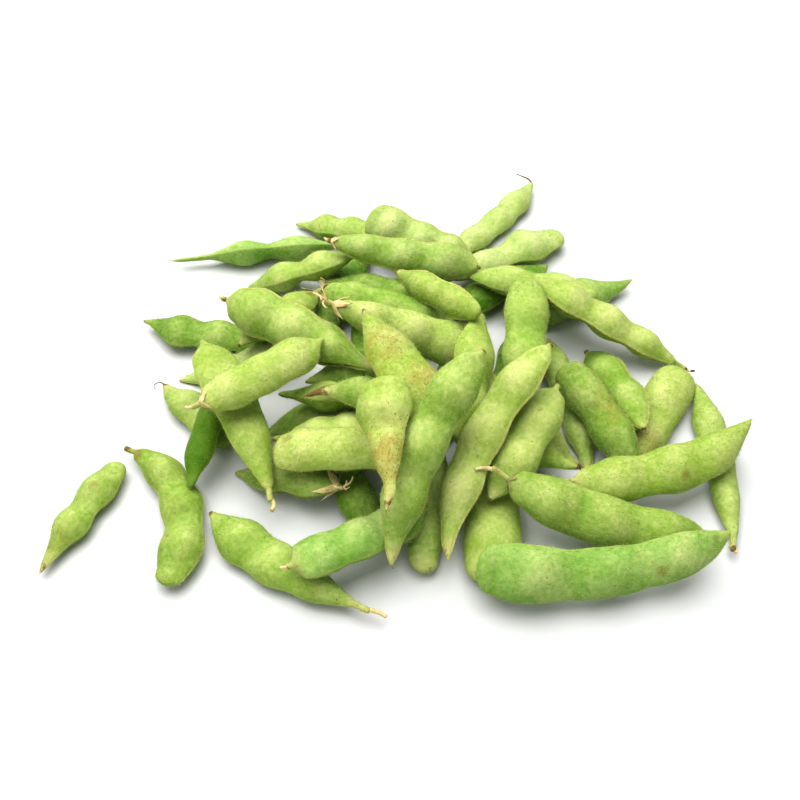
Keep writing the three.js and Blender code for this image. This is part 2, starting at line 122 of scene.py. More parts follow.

# %% [markdown]
# ## Ground
#
# The pods lie on something plain and pale.  A grid of one face is enough for it, as wide as the view needs.
# `finished` turns a bmesh into an object, and every later piece is made by it: the object stays at the
# origin, with its place in its mesh.

# %% Ground
FLOOR_SIZE = 6.0
GROUND_COLOUR = (0.68, 0.68, 0.68)
GROUND_ROUGHNESS = 0.8


def finished(bm, name, material):
    """A mesh object from a bmesh, smooth all over, with one material."""
    mesh = bpy.data.meshes.new(name)
    bm.to_mesh(mesh)
    bm.free()
    mesh.shade_smooth()
    mesh.materials.append(material)
    piece = bpy.data.objects.new(name, mesh)
    scene.collection.objects.link(piece)
    return piece


white = bpy.data.materials.new("white_ground")
white.use_nodes = True
white.node_tree.nodes["Principled BSDF"].inputs["Base Color"].default_value = (*GROUND_COLOUR, 1)
white.node_tree.nodes["Principled BSDF"].inputs["Roughness"].default_value = GROUND_ROUGHNESS
bm = bmesh.new()
bmesh.ops.create_grid(bm, x_segments=1, y_segments=1, size=FLOOR_SIZE / 2)
ground = finished(bm, "ground", white)
print("ground", FLOOR_SIZE, "m wide")

# %% [markdown]
# ## Helpers for materials
#
# A material is a tree of nodes, and a node made by hand takes four or five lines.  `add` makes one and sets
# or links its sockets in a single call, by name, or by number as `i0` where two sockets share a name.
# `maths`, `ramp` and `blend` are the three nodes that are used most, and `group` and `use` make and place a
# node group.

# %% Node helpers
def add(tree, kind, settings=None, **values):
    """A node of this kind in a tree, with its properties set, and each input set or linked."""
    node = tree.nodes.new(kind)
    for key, value in (settings or {}).items():
        setattr(node, key, value)
    for key, value in values.items():
        by_number = key[0] == "i" and key[1:].isdigit()
        socket = node.inputs[int(key[1:]) if by_number else key.replace("_", " ")]
        if isinstance(value, bpy.types.NodeSocket):
            tree.links.new(value, socket)
        else:
            socket.default_value = value
    return node


def maths(tree, operation, a, b=0.0, clamp=False):
    return add(tree, "ShaderNodeMath", {"operation": operation, "use_clamp": clamp}, i0=a, i1=b).outputs[0]


def ramp(tree, value, low, high, to_low=0.0, to_high=1.0):
    """value eased from to_low at low to to_high at high."""
    node = add(tree, "ShaderNodeMapRange", {"interpolation_type": "SMOOTHSTEP"}, Value=value)
    node.inputs["From Min"].default_value = low
    node.inputs["From Max"].default_value = high
    node.inputs["To Min"].default_value = to_low
    node.inputs["To Max"].default_value = to_high
    return node.outputs[0]


def blend(tree, amount, first, second):
    """The first colour where amount is 0, the second where it is 1."""
    node = add(tree, "ShaderNodeMix", {"data_type": "RGBA"}, i0=amount)
    for socket, colour in ((node.inputs[6], first), (node.inputs[7], second)):
        if isinstance(colour, bpy.types.NodeSocket):
            tree.links.new(colour, socket)
        else:
            socket.default_value = (*colour, 1)
    return node.outputs[2]


def group(name, inputs, outputs):
    """An empty node group with float sockets, or vector ones for names that end in `place`."""
    tree = bpy.data.node_groups.new(name, "ShaderNodeTree")
    for label, default in inputs.items():
        kind = "NodeSocketVector" if label.endswith("place") else "NodeSocketFloat"
        socket = tree.interface.new_socket(label, in_out="INPUT", socket_type=kind)
        if default is not None:
            socket.default_value = default
    for label in outputs:
        tree.interface.new_socket(label, in_out="OUTPUT", socket_type="NodeSocketFloat")
    return tree, tree.nodes.new("NodeGroupInput").outputs, tree.nodes.new("NodeGroupOutput").inputs


def use(tree, shared, **values):
    """A shared group placed in a tree."""
    node = tree.nodes.new("ShaderNodeGroup")
    node.node_tree = shared
    for key, value in values.items():
        if isinstance(value, bpy.types.NodeSocket):
            tree.links.new(value, node.inputs[key])
        else:
            node.inputs[key].default_value = value
    return node.outputs


print("helpers for nodes: add, maths, ramp, blend, group, use")

# %% [markdown]
# ## Clouds
#
# The skin, the hairs and the dry parts all vary in the same few ways, so each way is a node group that is
# built once.  A group is a small node tree with named sockets of its own.  These groups put out only masks:
# the colours are chosen in each material.  The first one gives soft patches with finer ones inside them,
# from one noise laid over another that is four times as fine.

# %% Clouds
FINER = 4.1  # how much finer the second noise is than the first
FINE_SHARE = 0.35
CLOUD_EDGES = (0.36, 0.64)  # the noise from which a patch begins, and where it is full

clouds, given, out = group("clouds", {"place": None, "per metre": 100.0}, ["mask"])
per_metre = given["per metre"]
coarse = add(clouds, "ShaderNodeTexNoise", Vector=given["place"], Scale=per_metre, Detail=2.0, Roughness=0.5)
finer = maths(clouds, "MULTIPLY", per_metre, FINER)
fine = add(clouds, "ShaderNodeTexNoise", Vector=given["place"], Scale=finer, Detail=3.0, Roughness=0.6)
float_mix = {"data_type": "FLOAT"}
both = add(clouds, "ShaderNodeMix", float_mix, i0=FINE_SHARE, i2=coarse.outputs[0], i3=fine.outputs[0])
clouds.links.new(ramp(clouds, both.outputs[0], *CLOUD_EDGES), out["mask"])
print("clouds:", len(clouds.nodes), "nodes")

# %% [markdown]
# ## Specks
#
# Rust on a pod comes as little spots with ragged edges.  A Voronoi texture parts space into cells with a
# random colour each: one channel of it says whether the cell has a speck, so that they grow rarer as
# `share` goes down, and another how small it is.  A noise shifts the place first, so the edges come out
# ragged.

# %% Specks
SPECK_SHIFT = (1.2 * MM, 1.2 * MM, 1.2 * MM)
SPECK_SHRINKS = 0.22  # how much smaller than the largest a speck may be, in cells
SPECK_EDGE = (0.48, 0.22)  # how far from its middle a speck ends, and from where on it is full

specks, given, out = group("specks", {"place": None, "per metre": 900.0, "share": 0.3}, ["mask"])
ragged = add(specks, "ShaderNodeTexNoise", Vector=given["place"], Scale=given["per metre"], Detail=2.0)
shift = add(specks, "ShaderNodeVectorMath", {"operation": "MULTIPLY"}, i0=ragged.outputs[1])
shift.inputs[1].default_value = SPECK_SHIFT
moved = add(specks, "ShaderNodeVectorMath", {"operation": "ADD"}, i0=given["place"], i1=shift.outputs[0])
cells = add(specks, "ShaderNodeTexVoronoi", Vector=moved.outputs[0], Scale=given["per metre"], Randomness=1.0)
drawn = add(specks, "ShaderNodeSeparateColor", i0=cells.outputs["Color"]).outputs
shrunk = maths(specks, "ADD", cells.outputs["Distance"], maths(specks, "MULTIPLY", drawn[1], SPECK_SHRINKS))
chosen = maths(specks, "LESS_THAN", drawn[0], given["share"])
specks.links.new(maths(specks, "MULTIPLY", ramp(specks, shrunk, *SPECK_EDGE), chosen), out["mask"])
print("specks:", len(specks.nodes), "nodes")

# %% [markdown]
# ## Fibres
#
# Dry stalk and calyx are fibrous: fine streaks run along them.  A noise that is squeezed across the piece
# and drawn out along it gives them.  It reads the piece's UV map, whose first coordinate runs along the
# fibres.  The tubes further down have no UV map, as they are too thin for streaks to show.

# %% Fibres
FIBRE_STRETCH = (2.0, 30.0, 1.0)
FIBRE_EDGES = (0.35, 0.65)

fibres, given, out = group("fibres", {"place": None, "per metre": 1.0}, ["mask"])
stretch = add(fibres, "ShaderNodeVectorMath", {"operation": "MULTIPLY"}, i0=given["place"])
stretch.inputs[1].default_value = FIBRE_STRETCH
streaks = add(fibres, "ShaderNodeTexNoise", Vector=stretch.outputs[0], Scale=given["per metre"], Detail=3.0)
fibres.links.new(ramp(fibres, streaks.outputs[0], *FIBRE_EDGES), out["mask"])
print("groups:", [g.name for g in bpy.data.node_groups])

# %% [markdown]
# ## The skin of a pod
#
# A fresh pod is never one green.  It is paler at the seams, cloudy all over, yellower towards both ends, and
# older pods have rusty specks.  Light and shade are painted into it too: it is made paler over the beans and
# deeper in the waists, and lighter where it faces up.  The mesh tells the material where it is by numbers
# that
# are written at each vertex as attributes: how near a bean, a seam, an end or a brown tip is, how old the pod
# is, how light its tint is there with the painted light and shade in it, and how deep in a stain or in a
# patch of freckles.
# Attributes follow a bent pod, which coordinates in space can't do.
#
# The colour is laid on in order, as a painter would: green from deep to light, a pale blush that is partly a
# painted highlight where it is lightest, straw at the ends, the seam's own colour, olive blotches of age,
# stains, rust and brown tips.
#
# The skin is thin and wet inside, so light goes a little way into it: `Subsurface` does that.  The down on
# it catches light at a glancing angle, which is what `Sheen` is for.  Both are plain numbers on the shader.

# %% Skin materials
ATTRIBUTES = ("bean", "seam", "ends", "brown", "age", "tint", "stain", "freckle")
SKIN_COLOURS = {
    "skin_mid_green": {"deep": (0.125, 0.295, 0.005), "light": (0.445, 0.565, 0.140)},
    "skin_yellow_green": {"deep": (0.190, 0.355, 0.007), "light": (0.545, 0.615, 0.190)},
    "skin_cool_green": {"deep": (0.100, 0.280, 0.007), "light": (0.385, 0.558, 0.155)},
    "skin_pale_green": {"deep": (0.185, 0.365, 0.012), "light": (0.560, 0.643, 0.260)},
    "skin_deep_green": {"deep": (0.062, 0.185, 0.004), "light": (0.295, 0.450, 0.065)},
}
STRAW = (0.560, 0.520, 0.210)
SEAM_PALE = (0.580, 0.600, 0.200)
SEAM_DRY = (0.330, 0.240, 0.070)
# A pale blush, partly the pod's own tone and partly a painted highlight where the skin is lightest.
BLUSH_AND_HIGHLIGHT = (0.610, 0.615, 0.285)
OLIVE = (0.195, 0.255, 0.022)
SMUDGE = (0.220, 0.200, 0.035)
RUST = (0.430, 0.270, 0.060)
FRECKLE = (0.270, 0.145, 0.028)
BROWN = (0.190, 0.105, 0.035)
CLOUDS_PER_METRE = {"wide": 55.0, "patches": 110.0, "blotches": 260.0, "grains": 700.0}
SPECKS_PER_METRE = 1500.0
ALWAYS_LIGHT = 0.06  # how light the skin is with nothing added, and then what each thing adds
# What a bean adds is painted light over its dome, which leaves the waists between beans darker as painted
# shade.
LIGHTENS = {"patches": 0.28, "bean": 0.22, "grains": 0.26}
COVERS = {"blush": 0.48, "straw": 0.70, "seam": 0.85, "dry seam": 0.80, "olive": 0.45, "specks": 0.90}
BLUSH_AND_HIGHLIGHT_EVERYWHERE = 0.25  # how much blush and painted highlight there is outside the wide clouds
STAIN_RAGGED = 0.35  # how far the blotches eat into a stain
STAIN_EDGE = (0.0, 0.75)
RUSTY = (0.45, 0.08)  # how rusty freckled skin is in its blotches, and between them
SPECKLED = {"age": 0.12, "freckle": 0.95}  # the share of the cells with a speck on old and on freckled skin
BURNT_RAGGED = 0.5  # how far the grains eat into a brown tip
BURNT_EDGE = (0.05, 0.45)
SKIN_ROUGHNESS = (0.50, 0.72)
SKIN_BUMP = 0.25 * MM
SKIN_SHADER = {
    "Subsurface Weight": 0.22,
    "Subsurface Radius": (0.8, 1.0, 0.25),
    "Subsurface Scale": 2.0 * MM,
    "Sheen Weight": 0.07,
    "Sheen Roughness": 0.45,
    "Sheen Tint": (1.0, 1.0, 0.90, 1),
    "Specular IOR Level": 0.14,
}


def times(tree, value, share):
    return maths(tree, "MULTIPLY", value, share)


def skin_colour(tree, skin, deep, light):
    """The colour of a pod's skin, from the masks and attributes in `skin`."""
    lightness = maths(tree, "ADD", times(tree, skin["patches"], LIGHTENS["patches"]), ALWAYS_LIGHT)
    # The beans add painted light over their domes, and the tint brings painted light and shade: lighter where
    # the pod faces up, darker where it faces down and on the pods at the bottom.
    for part in ("bean", "grains"):
        lightness = maths(tree, "ADD", lightness, times(tree, skin[part], LIGHTENS[part]))
    lightness = maths(tree, "ADD", lightness, skin["tint"], clamp=True)
    colour = blend(tree, lightness, deep, light)
    # The blush is partly a pale tone and partly a painted highlight, strongest where the painted light is.
    lightest = maths(tree, "POWER", lightness, 2.0)
    blush = times(tree, lightest, maths(tree, "ADD", skin["wide"], BLUSH_AND_HIGHLIGHT_EVERYWHERE))
    colour = blend(tree, times(tree, blush, COVERS["blush"]), colour, BLUSH_AND_HIGHLIGHT)

    colour = blend(tree, times(tree, skin["ends"], COVERS["straw"]), colour, STRAW)
    seam_colour = blend(tree, times(tree, skin["grains"], COVERS["dry seam"]), SEAM_PALE, SEAM_DRY)
    colour = blend(tree, times(tree, skin["seam"], COVERS["seam"]), colour, seam_colour)

    old = times(tree, skin["blotches"], skin["age"])
    colour = blend(tree, times(tree, old, COVERS["olive"]), colour, OLIVE)
    stained = maths(tree, "SUBTRACT", skin["stain"], times(tree, skin["blotches"], STAIN_RAGGED))
    colour = blend(tree, ramp(tree, stained, *STAIN_EDGE), colour, SMUDGE)
    rusty = maths(tree, "ADD", times(tree, skin["blotches"], RUSTY[0]), RUSTY[1])
    colour = blend(tree, times(tree, skin["freckle"], rusty), colour, RUST)
    by_age, by_freckles = (times(tree, skin[label], share) for label, share in SPECKLED.items())
    share = maths(tree, "ADD", by_age, by_freckles, clamp=True)
    dots = use(tree, specks, **{"place": skin["place"], "per metre": SPECKS_PER_METRE, "share": share})
    colour = blend(tree, times(tree, dots["mask"], COVERS["specks"]), colour, FRECKLE)
    burnt = maths(tree, "SUBTRACT", skin["brown"], times(tree, skin["grains"], BURNT_RAGGED))
    return blend(tree, ramp(tree, burnt, *BURNT_EDGE), colour, BROWN)


def skin_material(name, deep, light):
    material = bpy.data.materials.new(name + "_dressed")
    material.use_nodes = True
    tree = material.node_tree
    shader = tree.nodes["Principled BSDF"]
    skin = {"place": add(tree, "ShaderNodeTexCoord").outputs["Object"]}
    for mask, per_metre in CLOUDS_PER_METRE.items():
        skin[mask] = use(tree, clouds, **{"place": skin["place"], "per metre": per_metre})["mask"]
    for label in ATTRIBUTES:
        skin[label] = add(tree, "ShaderNodeAttribute", {"attribute_name": label}).outputs["Fac"]

    tree.links.new(skin_colour(tree, skin, deep, light), shader.inputs["Base Color"])
    tree.links.new(ramp(tree, skin["grains"], 0.0, 1.0, *SKIN_ROUGHNESS), shader.inputs["Roughness"])
    height = maths(tree, "ADD", times(tree, skin["grains"], 0.5), times(tree, skin["patches"], 0.5))
    bump = add(tree, "ShaderNodeBump", Strength=0.6, Distance=SKIN_BUMP, Height=height)
    tree.links.new(bump.outputs[0], shader.inputs["Normal"])
    for label, value in SKIN_SHADER.items():
        shader.inputs[label].default_value = value
    return material


skins = {slot: skin_material(slot, **colours) for slot, colours in SKIN_COLOURS.items()}
print("skins:", list(skins))

# %% [markdown]
# ## Dry parts and down
#
# The calyx, the torn stem and the withered thread are dead tissue: straw and brown, fibrous, quite matt.
# The hairs are a pale yellow-green.  Both get their change of colour from the same groups as the skin.

# %% Dry and downy materials
DRY_COLOURS = {  # from the dark of each to its pale
    "calyx_olive": ((0.19, 0.21, 0.04), (0.46, 0.47, 0.16)),
    "calyx_straw": ((0.52, 0.38, 0.14), (0.86, 0.76, 0.42)),
    "withered_brown": ((0.09, 0.05, 0.02), (0.36, 0.24, 0.11)),
}
DRY_ROUGHNESS = 0.8
DRY_CLOUDS_PER_METRE = 600.0
FIBRE_BUMP = 0.15 * MM
DOWN_COLOURS = ((0.34, 0.42, 0.04), (0.68, 0.71, 0.17))
DOWN_ROUGHNESS = 0.6
DOWN_CLOUDS_PER_METRE = 150.0
DOWN_SHEEN = 0.3
LITTLE_SHINE = 0.3


def plain_material(name, roughness):
    material = bpy.data.materials.new(name)
    material.use_nodes = True
    shader = material.node_tree.nodes["Principled BSDF"]
    shader.inputs["Roughness"].default_value = roughness
    shader.inputs["Specular IOR Level"].default_value = LITTLE_SHINE
    place = add(material.node_tree, "ShaderNodeTexCoord").outputs["Object"]
    return material, material.node_tree, shader, place


def dry_material(name, dark, pale):
    material, tree, shader, place = plain_material(name, DRY_ROUGHNESS)
    uv = add(tree, "ShaderNodeTexCoord").outputs["UV"]
    streaks = use(tree, fibres, **{"place": uv, "per metre": 1.0})["mask"]
    patches = use(tree, clouds, **{"place": place, "per metre": DRY_CLOUDS_PER_METRE})["mask"]
    both = times(tree, maths(tree, "ADD", streaks, patches), 0.5)
    tree.links.new(blend(tree, both, dark, pale), shader.inputs["Base Color"])
    bump = add(tree, "ShaderNodeBump", Strength=0.7, Distance=FIBRE_BUMP, Height=streaks)
    tree.links.new(bump.outputs[0], shader.inputs["Normal"])
    return material


def down_material():
    material, tree, shader, place = plain_material("pod_down", DOWN_ROUGHNESS)
    patches = use(tree, clouds, **{"place": place, "per metre": DOWN_CLOUDS_PER_METRE})["mask"]
    tree.links.new(blend(tree, patches, *DOWN_COLOURS), shader.inputs["Base Color"])
    shader.inputs["Sheen Weight"].default_value = DOWN_SHEEN
    return material


green_calyx, straw_calyx, withered = (dry_material(name, *two) for name, two in DRY_COLOURS.items())
down = down_material()
print("dry:", green_calyx.name, straw_calyx.name, withered.name, "and", down.name)

# %% [markdown]
# ## Reading a pod's bones
#
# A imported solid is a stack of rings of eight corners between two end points.  Walking outwards from one end
# point, one edge at a time, meets one ring after another, so the rings come back in order.  The two corners
# of a ring that lie furthest apart are its seams.  From each ring we keep its middle, the arrow to one seam
# and the arrows to both cheeks: those are the bones that the smooth pod is stretched over.
#
# A set of corners has no order that holds from run to run, so each ring is sorted before it is used, and
# the arrows are named by where they point: the first seam is the one in front, the first cheek the one on
# top.
#
# The faceted mesh is loose triangles, so we merge a copy and leave the original alone.

# %% Bones
CORNERS = 8
OPPOSITE = CORNERS // 2
FORWARD = Vector((-0.3, -1, 0))


def spread(ring):
    middle = sum((v.co for v in ring), Vector()) / len(ring)
    return sum((v.co - middle).length for v in ring)


def beyond(vertex, ring):
    """The neighbours of a vertex that are in the next ring."""
    return [e.other_vert(vertex) for e in vertex.link_edges if e.other_vert(vertex) in ring]


def in_order(ring, first, towards):
    """The corners of a ring in order round it from first, the way that has `towards` third."""
    for second in beyond(first, ring):
        walk = [first, second]
        while len(walk) < CORNERS:
            walk.append(next(v for v in beyond(walk[-1], ring) if v not in walk))
        if walk[2] is towards:
            return walk


def bones_of(node):
    """A packed pod's bones from stalk to beak, each (middle, to the seam, to one cheek, to the other)."""
    bm = bmesh.new()
    bm.from_mesh(frame["nodes"][node].data)
    bmesh.ops.remove_doubles(bm, verts=bm.verts, dist=0.0005 * MM)
    bm.verts.index_update()
    first, second = [v for v in bm.verts if len(v.link_edges) == CORNERS]
    seen, rings, front = {first}, [], [first]
    while len(front) in (1, CORNERS) and second not in front:
        around = {e.other_vert(v) for v in front for e in v.link_edges} - seen
        front = sorted(around, key=lambda v: v.index)
        seen.update(front)
        rings.append(front)
    rings.pop()
    if spread(rings[0]) < spread(rings[-1]):
        rings.reverse()
        first, second = second, first

    # Every other corner has just one edge to the next ring, and the seams are among them.
    single = [v for v in rings[0] if len(beyond(v, rings[1])) == 1]
    start = single[0]
    facing = next(v for v in single[1:] if set(beyond(v, rings[0])) & set(beyond(start, rings[0])))
    ordered = [in_order(rings[0], start, facing)]
    for ring in rings[1:]:
        ordered.append(in_order(ring, beyond(ordered[-1][0], ring)[0], beyond(ordered[-1][2], ring)[0]))
    wide = ordered[CORNERS]
    across = (wide[0].co - wide[4].co).length, (wide[2].co - wide[6].co).length
    seam_at, cheek_at = (0, 2) if across[0] > across[1] else (2, 0)
    halfway = ordered[len(ordered) // 2]
    if (halfway[seam_at].co - halfway[seam_at + OPPOSITE].co).dot(FORWARD) < 0:
        seam_at += OPPOSITE
    if halfway[cheek_at].co.z < halfway[cheek_at + OPPOSITE].co.z:
        cheek_at += OPPOSITE
    bones = [(first.co.copy(), Vector(), Vector(), Vector())]
    for ring in ordered:
        seam, far_seam = (ring[(seam_at + k) % CORNERS].co for k in (0, OPPOSITE))
        cheek, far_cheek = (ring[(cheek_at + k) % CORNERS].co for k in (0, OPPOSITE))
        middle = (seam + far_seam) / 2
        bones.append((middle, seam - middle, cheek - middle, far_cheek - middle))
    bones.append((second.co.copy(), Vector(), Vector(), Vector()))
    bm.free()
    return bones


bones = bones_of("pod_front_big")
end_to_end = (bones[-1][0] - bones[0][0]).length
print("front_big has", len(bones), "bones,", round(end_to_end / MM, 1), "mm end to end")

# %% [markdown]
# ## A smooth line through the bones
#
# Straight lines between the bones would give back the facets.  A cubic through each pair of bones, whose
# slope at a bone is the slope between its two neighbours, gives one smooth pod that still goes through all
# of them.  Distances are measured along the middle, so a row can be put at any distance from the stalk.

# %% Smooth skeleton
STALK_BONES = 3  # the end point, the cut end and the neck, before the shoulder
# A pod with so many bones has its beans between these pairs of them.
BEAN_BONES = {16: [(6, 7), (9, 10)], 19: [(6, 7), (9, 10), (12, 13)]}
ROUND_END = (0.5, 0.72)  # where the point and the first bone of a round end lie, from the cut end to the neck
ROUND_SWELLS = {"cut": 1.5, "neck": 2.3, "shoulder": 1.4}


def without_stalk(bones):
    """The same bones with no stalk: the shell closes in a small round end just short of its shoulder."""
    _, cut, neck, shoulder = bones[: STALK_BONES + 1]
    end, near = (cut[0].lerp(neck[0], share) for share in ROUND_END)
    return [
        (end, Vector(), Vector(), Vector()),
        (near, *(ROUND_SWELLS["cut"] * arm for arm in cut[1:])),
        (neck[0], *(ROUND_SWELLS["neck"] * arm for arm in neck[1:])),
        (shoulder[0], *(ROUND_SWELLS["shoulder"] * arm for arm in shoulder[1:])),
        *bones[STALK_BONES + 1 :],
    ]


def skeleton_of(node, has_stalk=True):
    bones = bones_of(node) if has_stalk else without_stalk(bones_of(node))
    at = [0.0]
    for here, before in zip(bones[1:], bones):
        at.append(at[-1] + (here[0] - before[0]).length)
    slopes = []
    for k in range(len(bones)):
        low, high = max(0, k - 1), min(len(bones) - 1, k + 1)
        slopes.append([(bones[high][part] - bones[low][part]) / (at[high] - at[low]) for part in range(4)])
    beans = [(at[a] + at[b]) / 2 for a, b in BEAN_BONES[len(bones)]]
    return {
        "bones": bones,
        "at": at,
        "slopes": slopes,
        "beans": beans,
        "waists": [(a + b) / 2 for a, b in zip(beans, beans[1:])],
        "length": at[-1],
        "neck": at[STALK_BONES - 1],
    }


def bone_at(skeleton, distance):
    """(middle, seam, cheek, other cheek) at a distance from the stalk's end, by a cubic between two bones."""
    at = skeleton["at"]
    k = 0
    while k < len(at) - 2 and at[k + 1] < distance:
        k += 1
    gap = at[k + 1] - at[k]
    t = min(1.0, max(0.0, (distance - at[k]) / gap))
    near, far = skeleton["bones"][k], skeleton["bones"][k + 1]
    leave, arrive = skeleton["slopes"][k], skeleton["slopes"][k + 1]
    a = 2 * t**3 - 3 * t**2 + 1
    b = (t**3 - 2 * t**2 + t) * gap
    c = 3 * t**2 - 2 * t**3
    d = (t**3 - t**2) * gap
    return [a * near[i] + b * leave[i] + c * far[i] + d * arrive[i] for i in range(4)]


def eased(low, high, value):
    """0 below low, 1 above high, and a soft step between. Where low is the larger of the two it runs down."""
    t = min(1.0, max(0.0, (value - low) / (high - low)))
    return t * t * (3 - 2 * t)


skeleton = skeleton_of("pod_front_big")
print("front_big's beans lie", [round(v / MM, 1) for v in skeleton["beans"]], "mm from the end of the stalk")

# %% [markdown]
# ## What is special about some pods
#
# Most pods differ only by chance, so a seeded random draw gives each its tint, its age and the hook of its
# beak.  Others have something of their own, which the next cells say for each by name.  First come the two
# ends, stalk and beak.  An end is how straw-coloured and how brown it is, from 0 to 1, and how far in
# millimetres the brown reaches.  A pod with a `ROUND` stalk end broke off clean, with no stalk left.

# %% Ends
ROUND = (0.15, 0.0, 1.0)
NUB = (0.50, 0.80, 0.9)
STUB = (0.95, 0.30, 2.6)
DRY = (1.00, 0.22, 5.0)
STALKS_AND_BEAKS = {
    "left_outer_thin": (ROUND, (1.0, 0.45, 5.0)),
    "left_outer_bent": ((0.9, 0.8, 2.6), ROUND),
    "left_small": (ROUND, (0.9, 0.7, 2.0)),
    "left_shade": (ROUND, ROUND),
    "front_left_long": ((1.0, 0.15, 6.0), (0.5, 0.9, 1.6)),
    "front_stub": (ROUND, (0.7, 0.25, 2.0)),
    "front_wide": (ROUND, ROUND),
    "right_low": ((0.8, 0.8, 1.6), NUB),
    "right_round": (ROUND, ROUND),
    "right_narrow": (NUB, (0.9, 0.5, 3.0)),
    "right_fuzzy": (ROUND, NUB),
    "right_ridge": ((0.7, 1.0, 1.6), NUB),
    "middle_tip": (ROUND, (0.9, 0.9, 2.0)),
    "back_right_round": (NUB, ROUND),
    "back_right_up": (ROUND, (0.8, 0.7, 1.5)),
    "left_hang": (DRY, ROUND),
    "left_behind": ((0.9, 0.35, 5.0), NUB),
    "left_clump": (DRY, NUB),
    "back_middle": (ROUND, (0.6, 1.0, 1.2)),
    "back_middle_low": (DRY, ROUND),
    "middle_pale": (ROUND, ROUND),
    "middle_wide": (NUB, NUB),
    "front_left_pale": ((0.9, 0.35, 1.5), ROUND),
    "back_right_middle": (ROUND, ROUND),
    "back_right_long": ((0.5, 1.0, 1.3), ROUND),
    "left_split": ((0.9, 0.6, 3.0), (1.0, 0.25, 3.0)),
    "left_cross": (STUB, ROUND),
    "middle_twist": (ROUND, (1.0, 1.0, 7.0)),
    "left_blunt": (ROUND, (0.5, 0.2, 1.5)),
    "right_long": (STUB, (0.35, 0.5, 0.8)),
    "back_edge": (ROUND, (0.9, 0.9, 2.5)),
    "back_right_upright": (ROUND, ROUND),
    "crest_long": (NUB, (1.0, 0.30, 4.6)),
    "front_right_long": (DRY, (0.8, 0.1, 1.0)),
    "front_big": (ROUND, (0.7, 0.15, 1.0)),
    "crest_triangle": (ROUND, (0.7, 1.0, 2.0)),
    "crest_left": (NUB, (1.0, 0.25, 4.0)),
    "crest_front": (ROUND, (1.0, 0.45, 5.0)),
    "crown_back": (ROUND, NUB),
    "crown_long": ((0.9, 0.6, 2.5), NUB),
}
print(len(STALKS_AND_BEAKS), "pods have ends of their own")

# %% [markdown]
# ## Characters
#
# Then comes what else is special.  A stain or a patch of freckles is given in the pod's own terms, so that
# it stays on it: a share of the way from stalk to beak, a share of the way from the middle to the front
# seam, a radius in millimetres and a depth.  A `bulge` is how much each bean swells the pod or leaves it
# slim.  A `pedicel` is a stem: its length, how thick it ends in millimetres, and how far and to which side
# it curls.  A shape for an end, `round` or `point`, comes with the length in millimetres that it takes in.

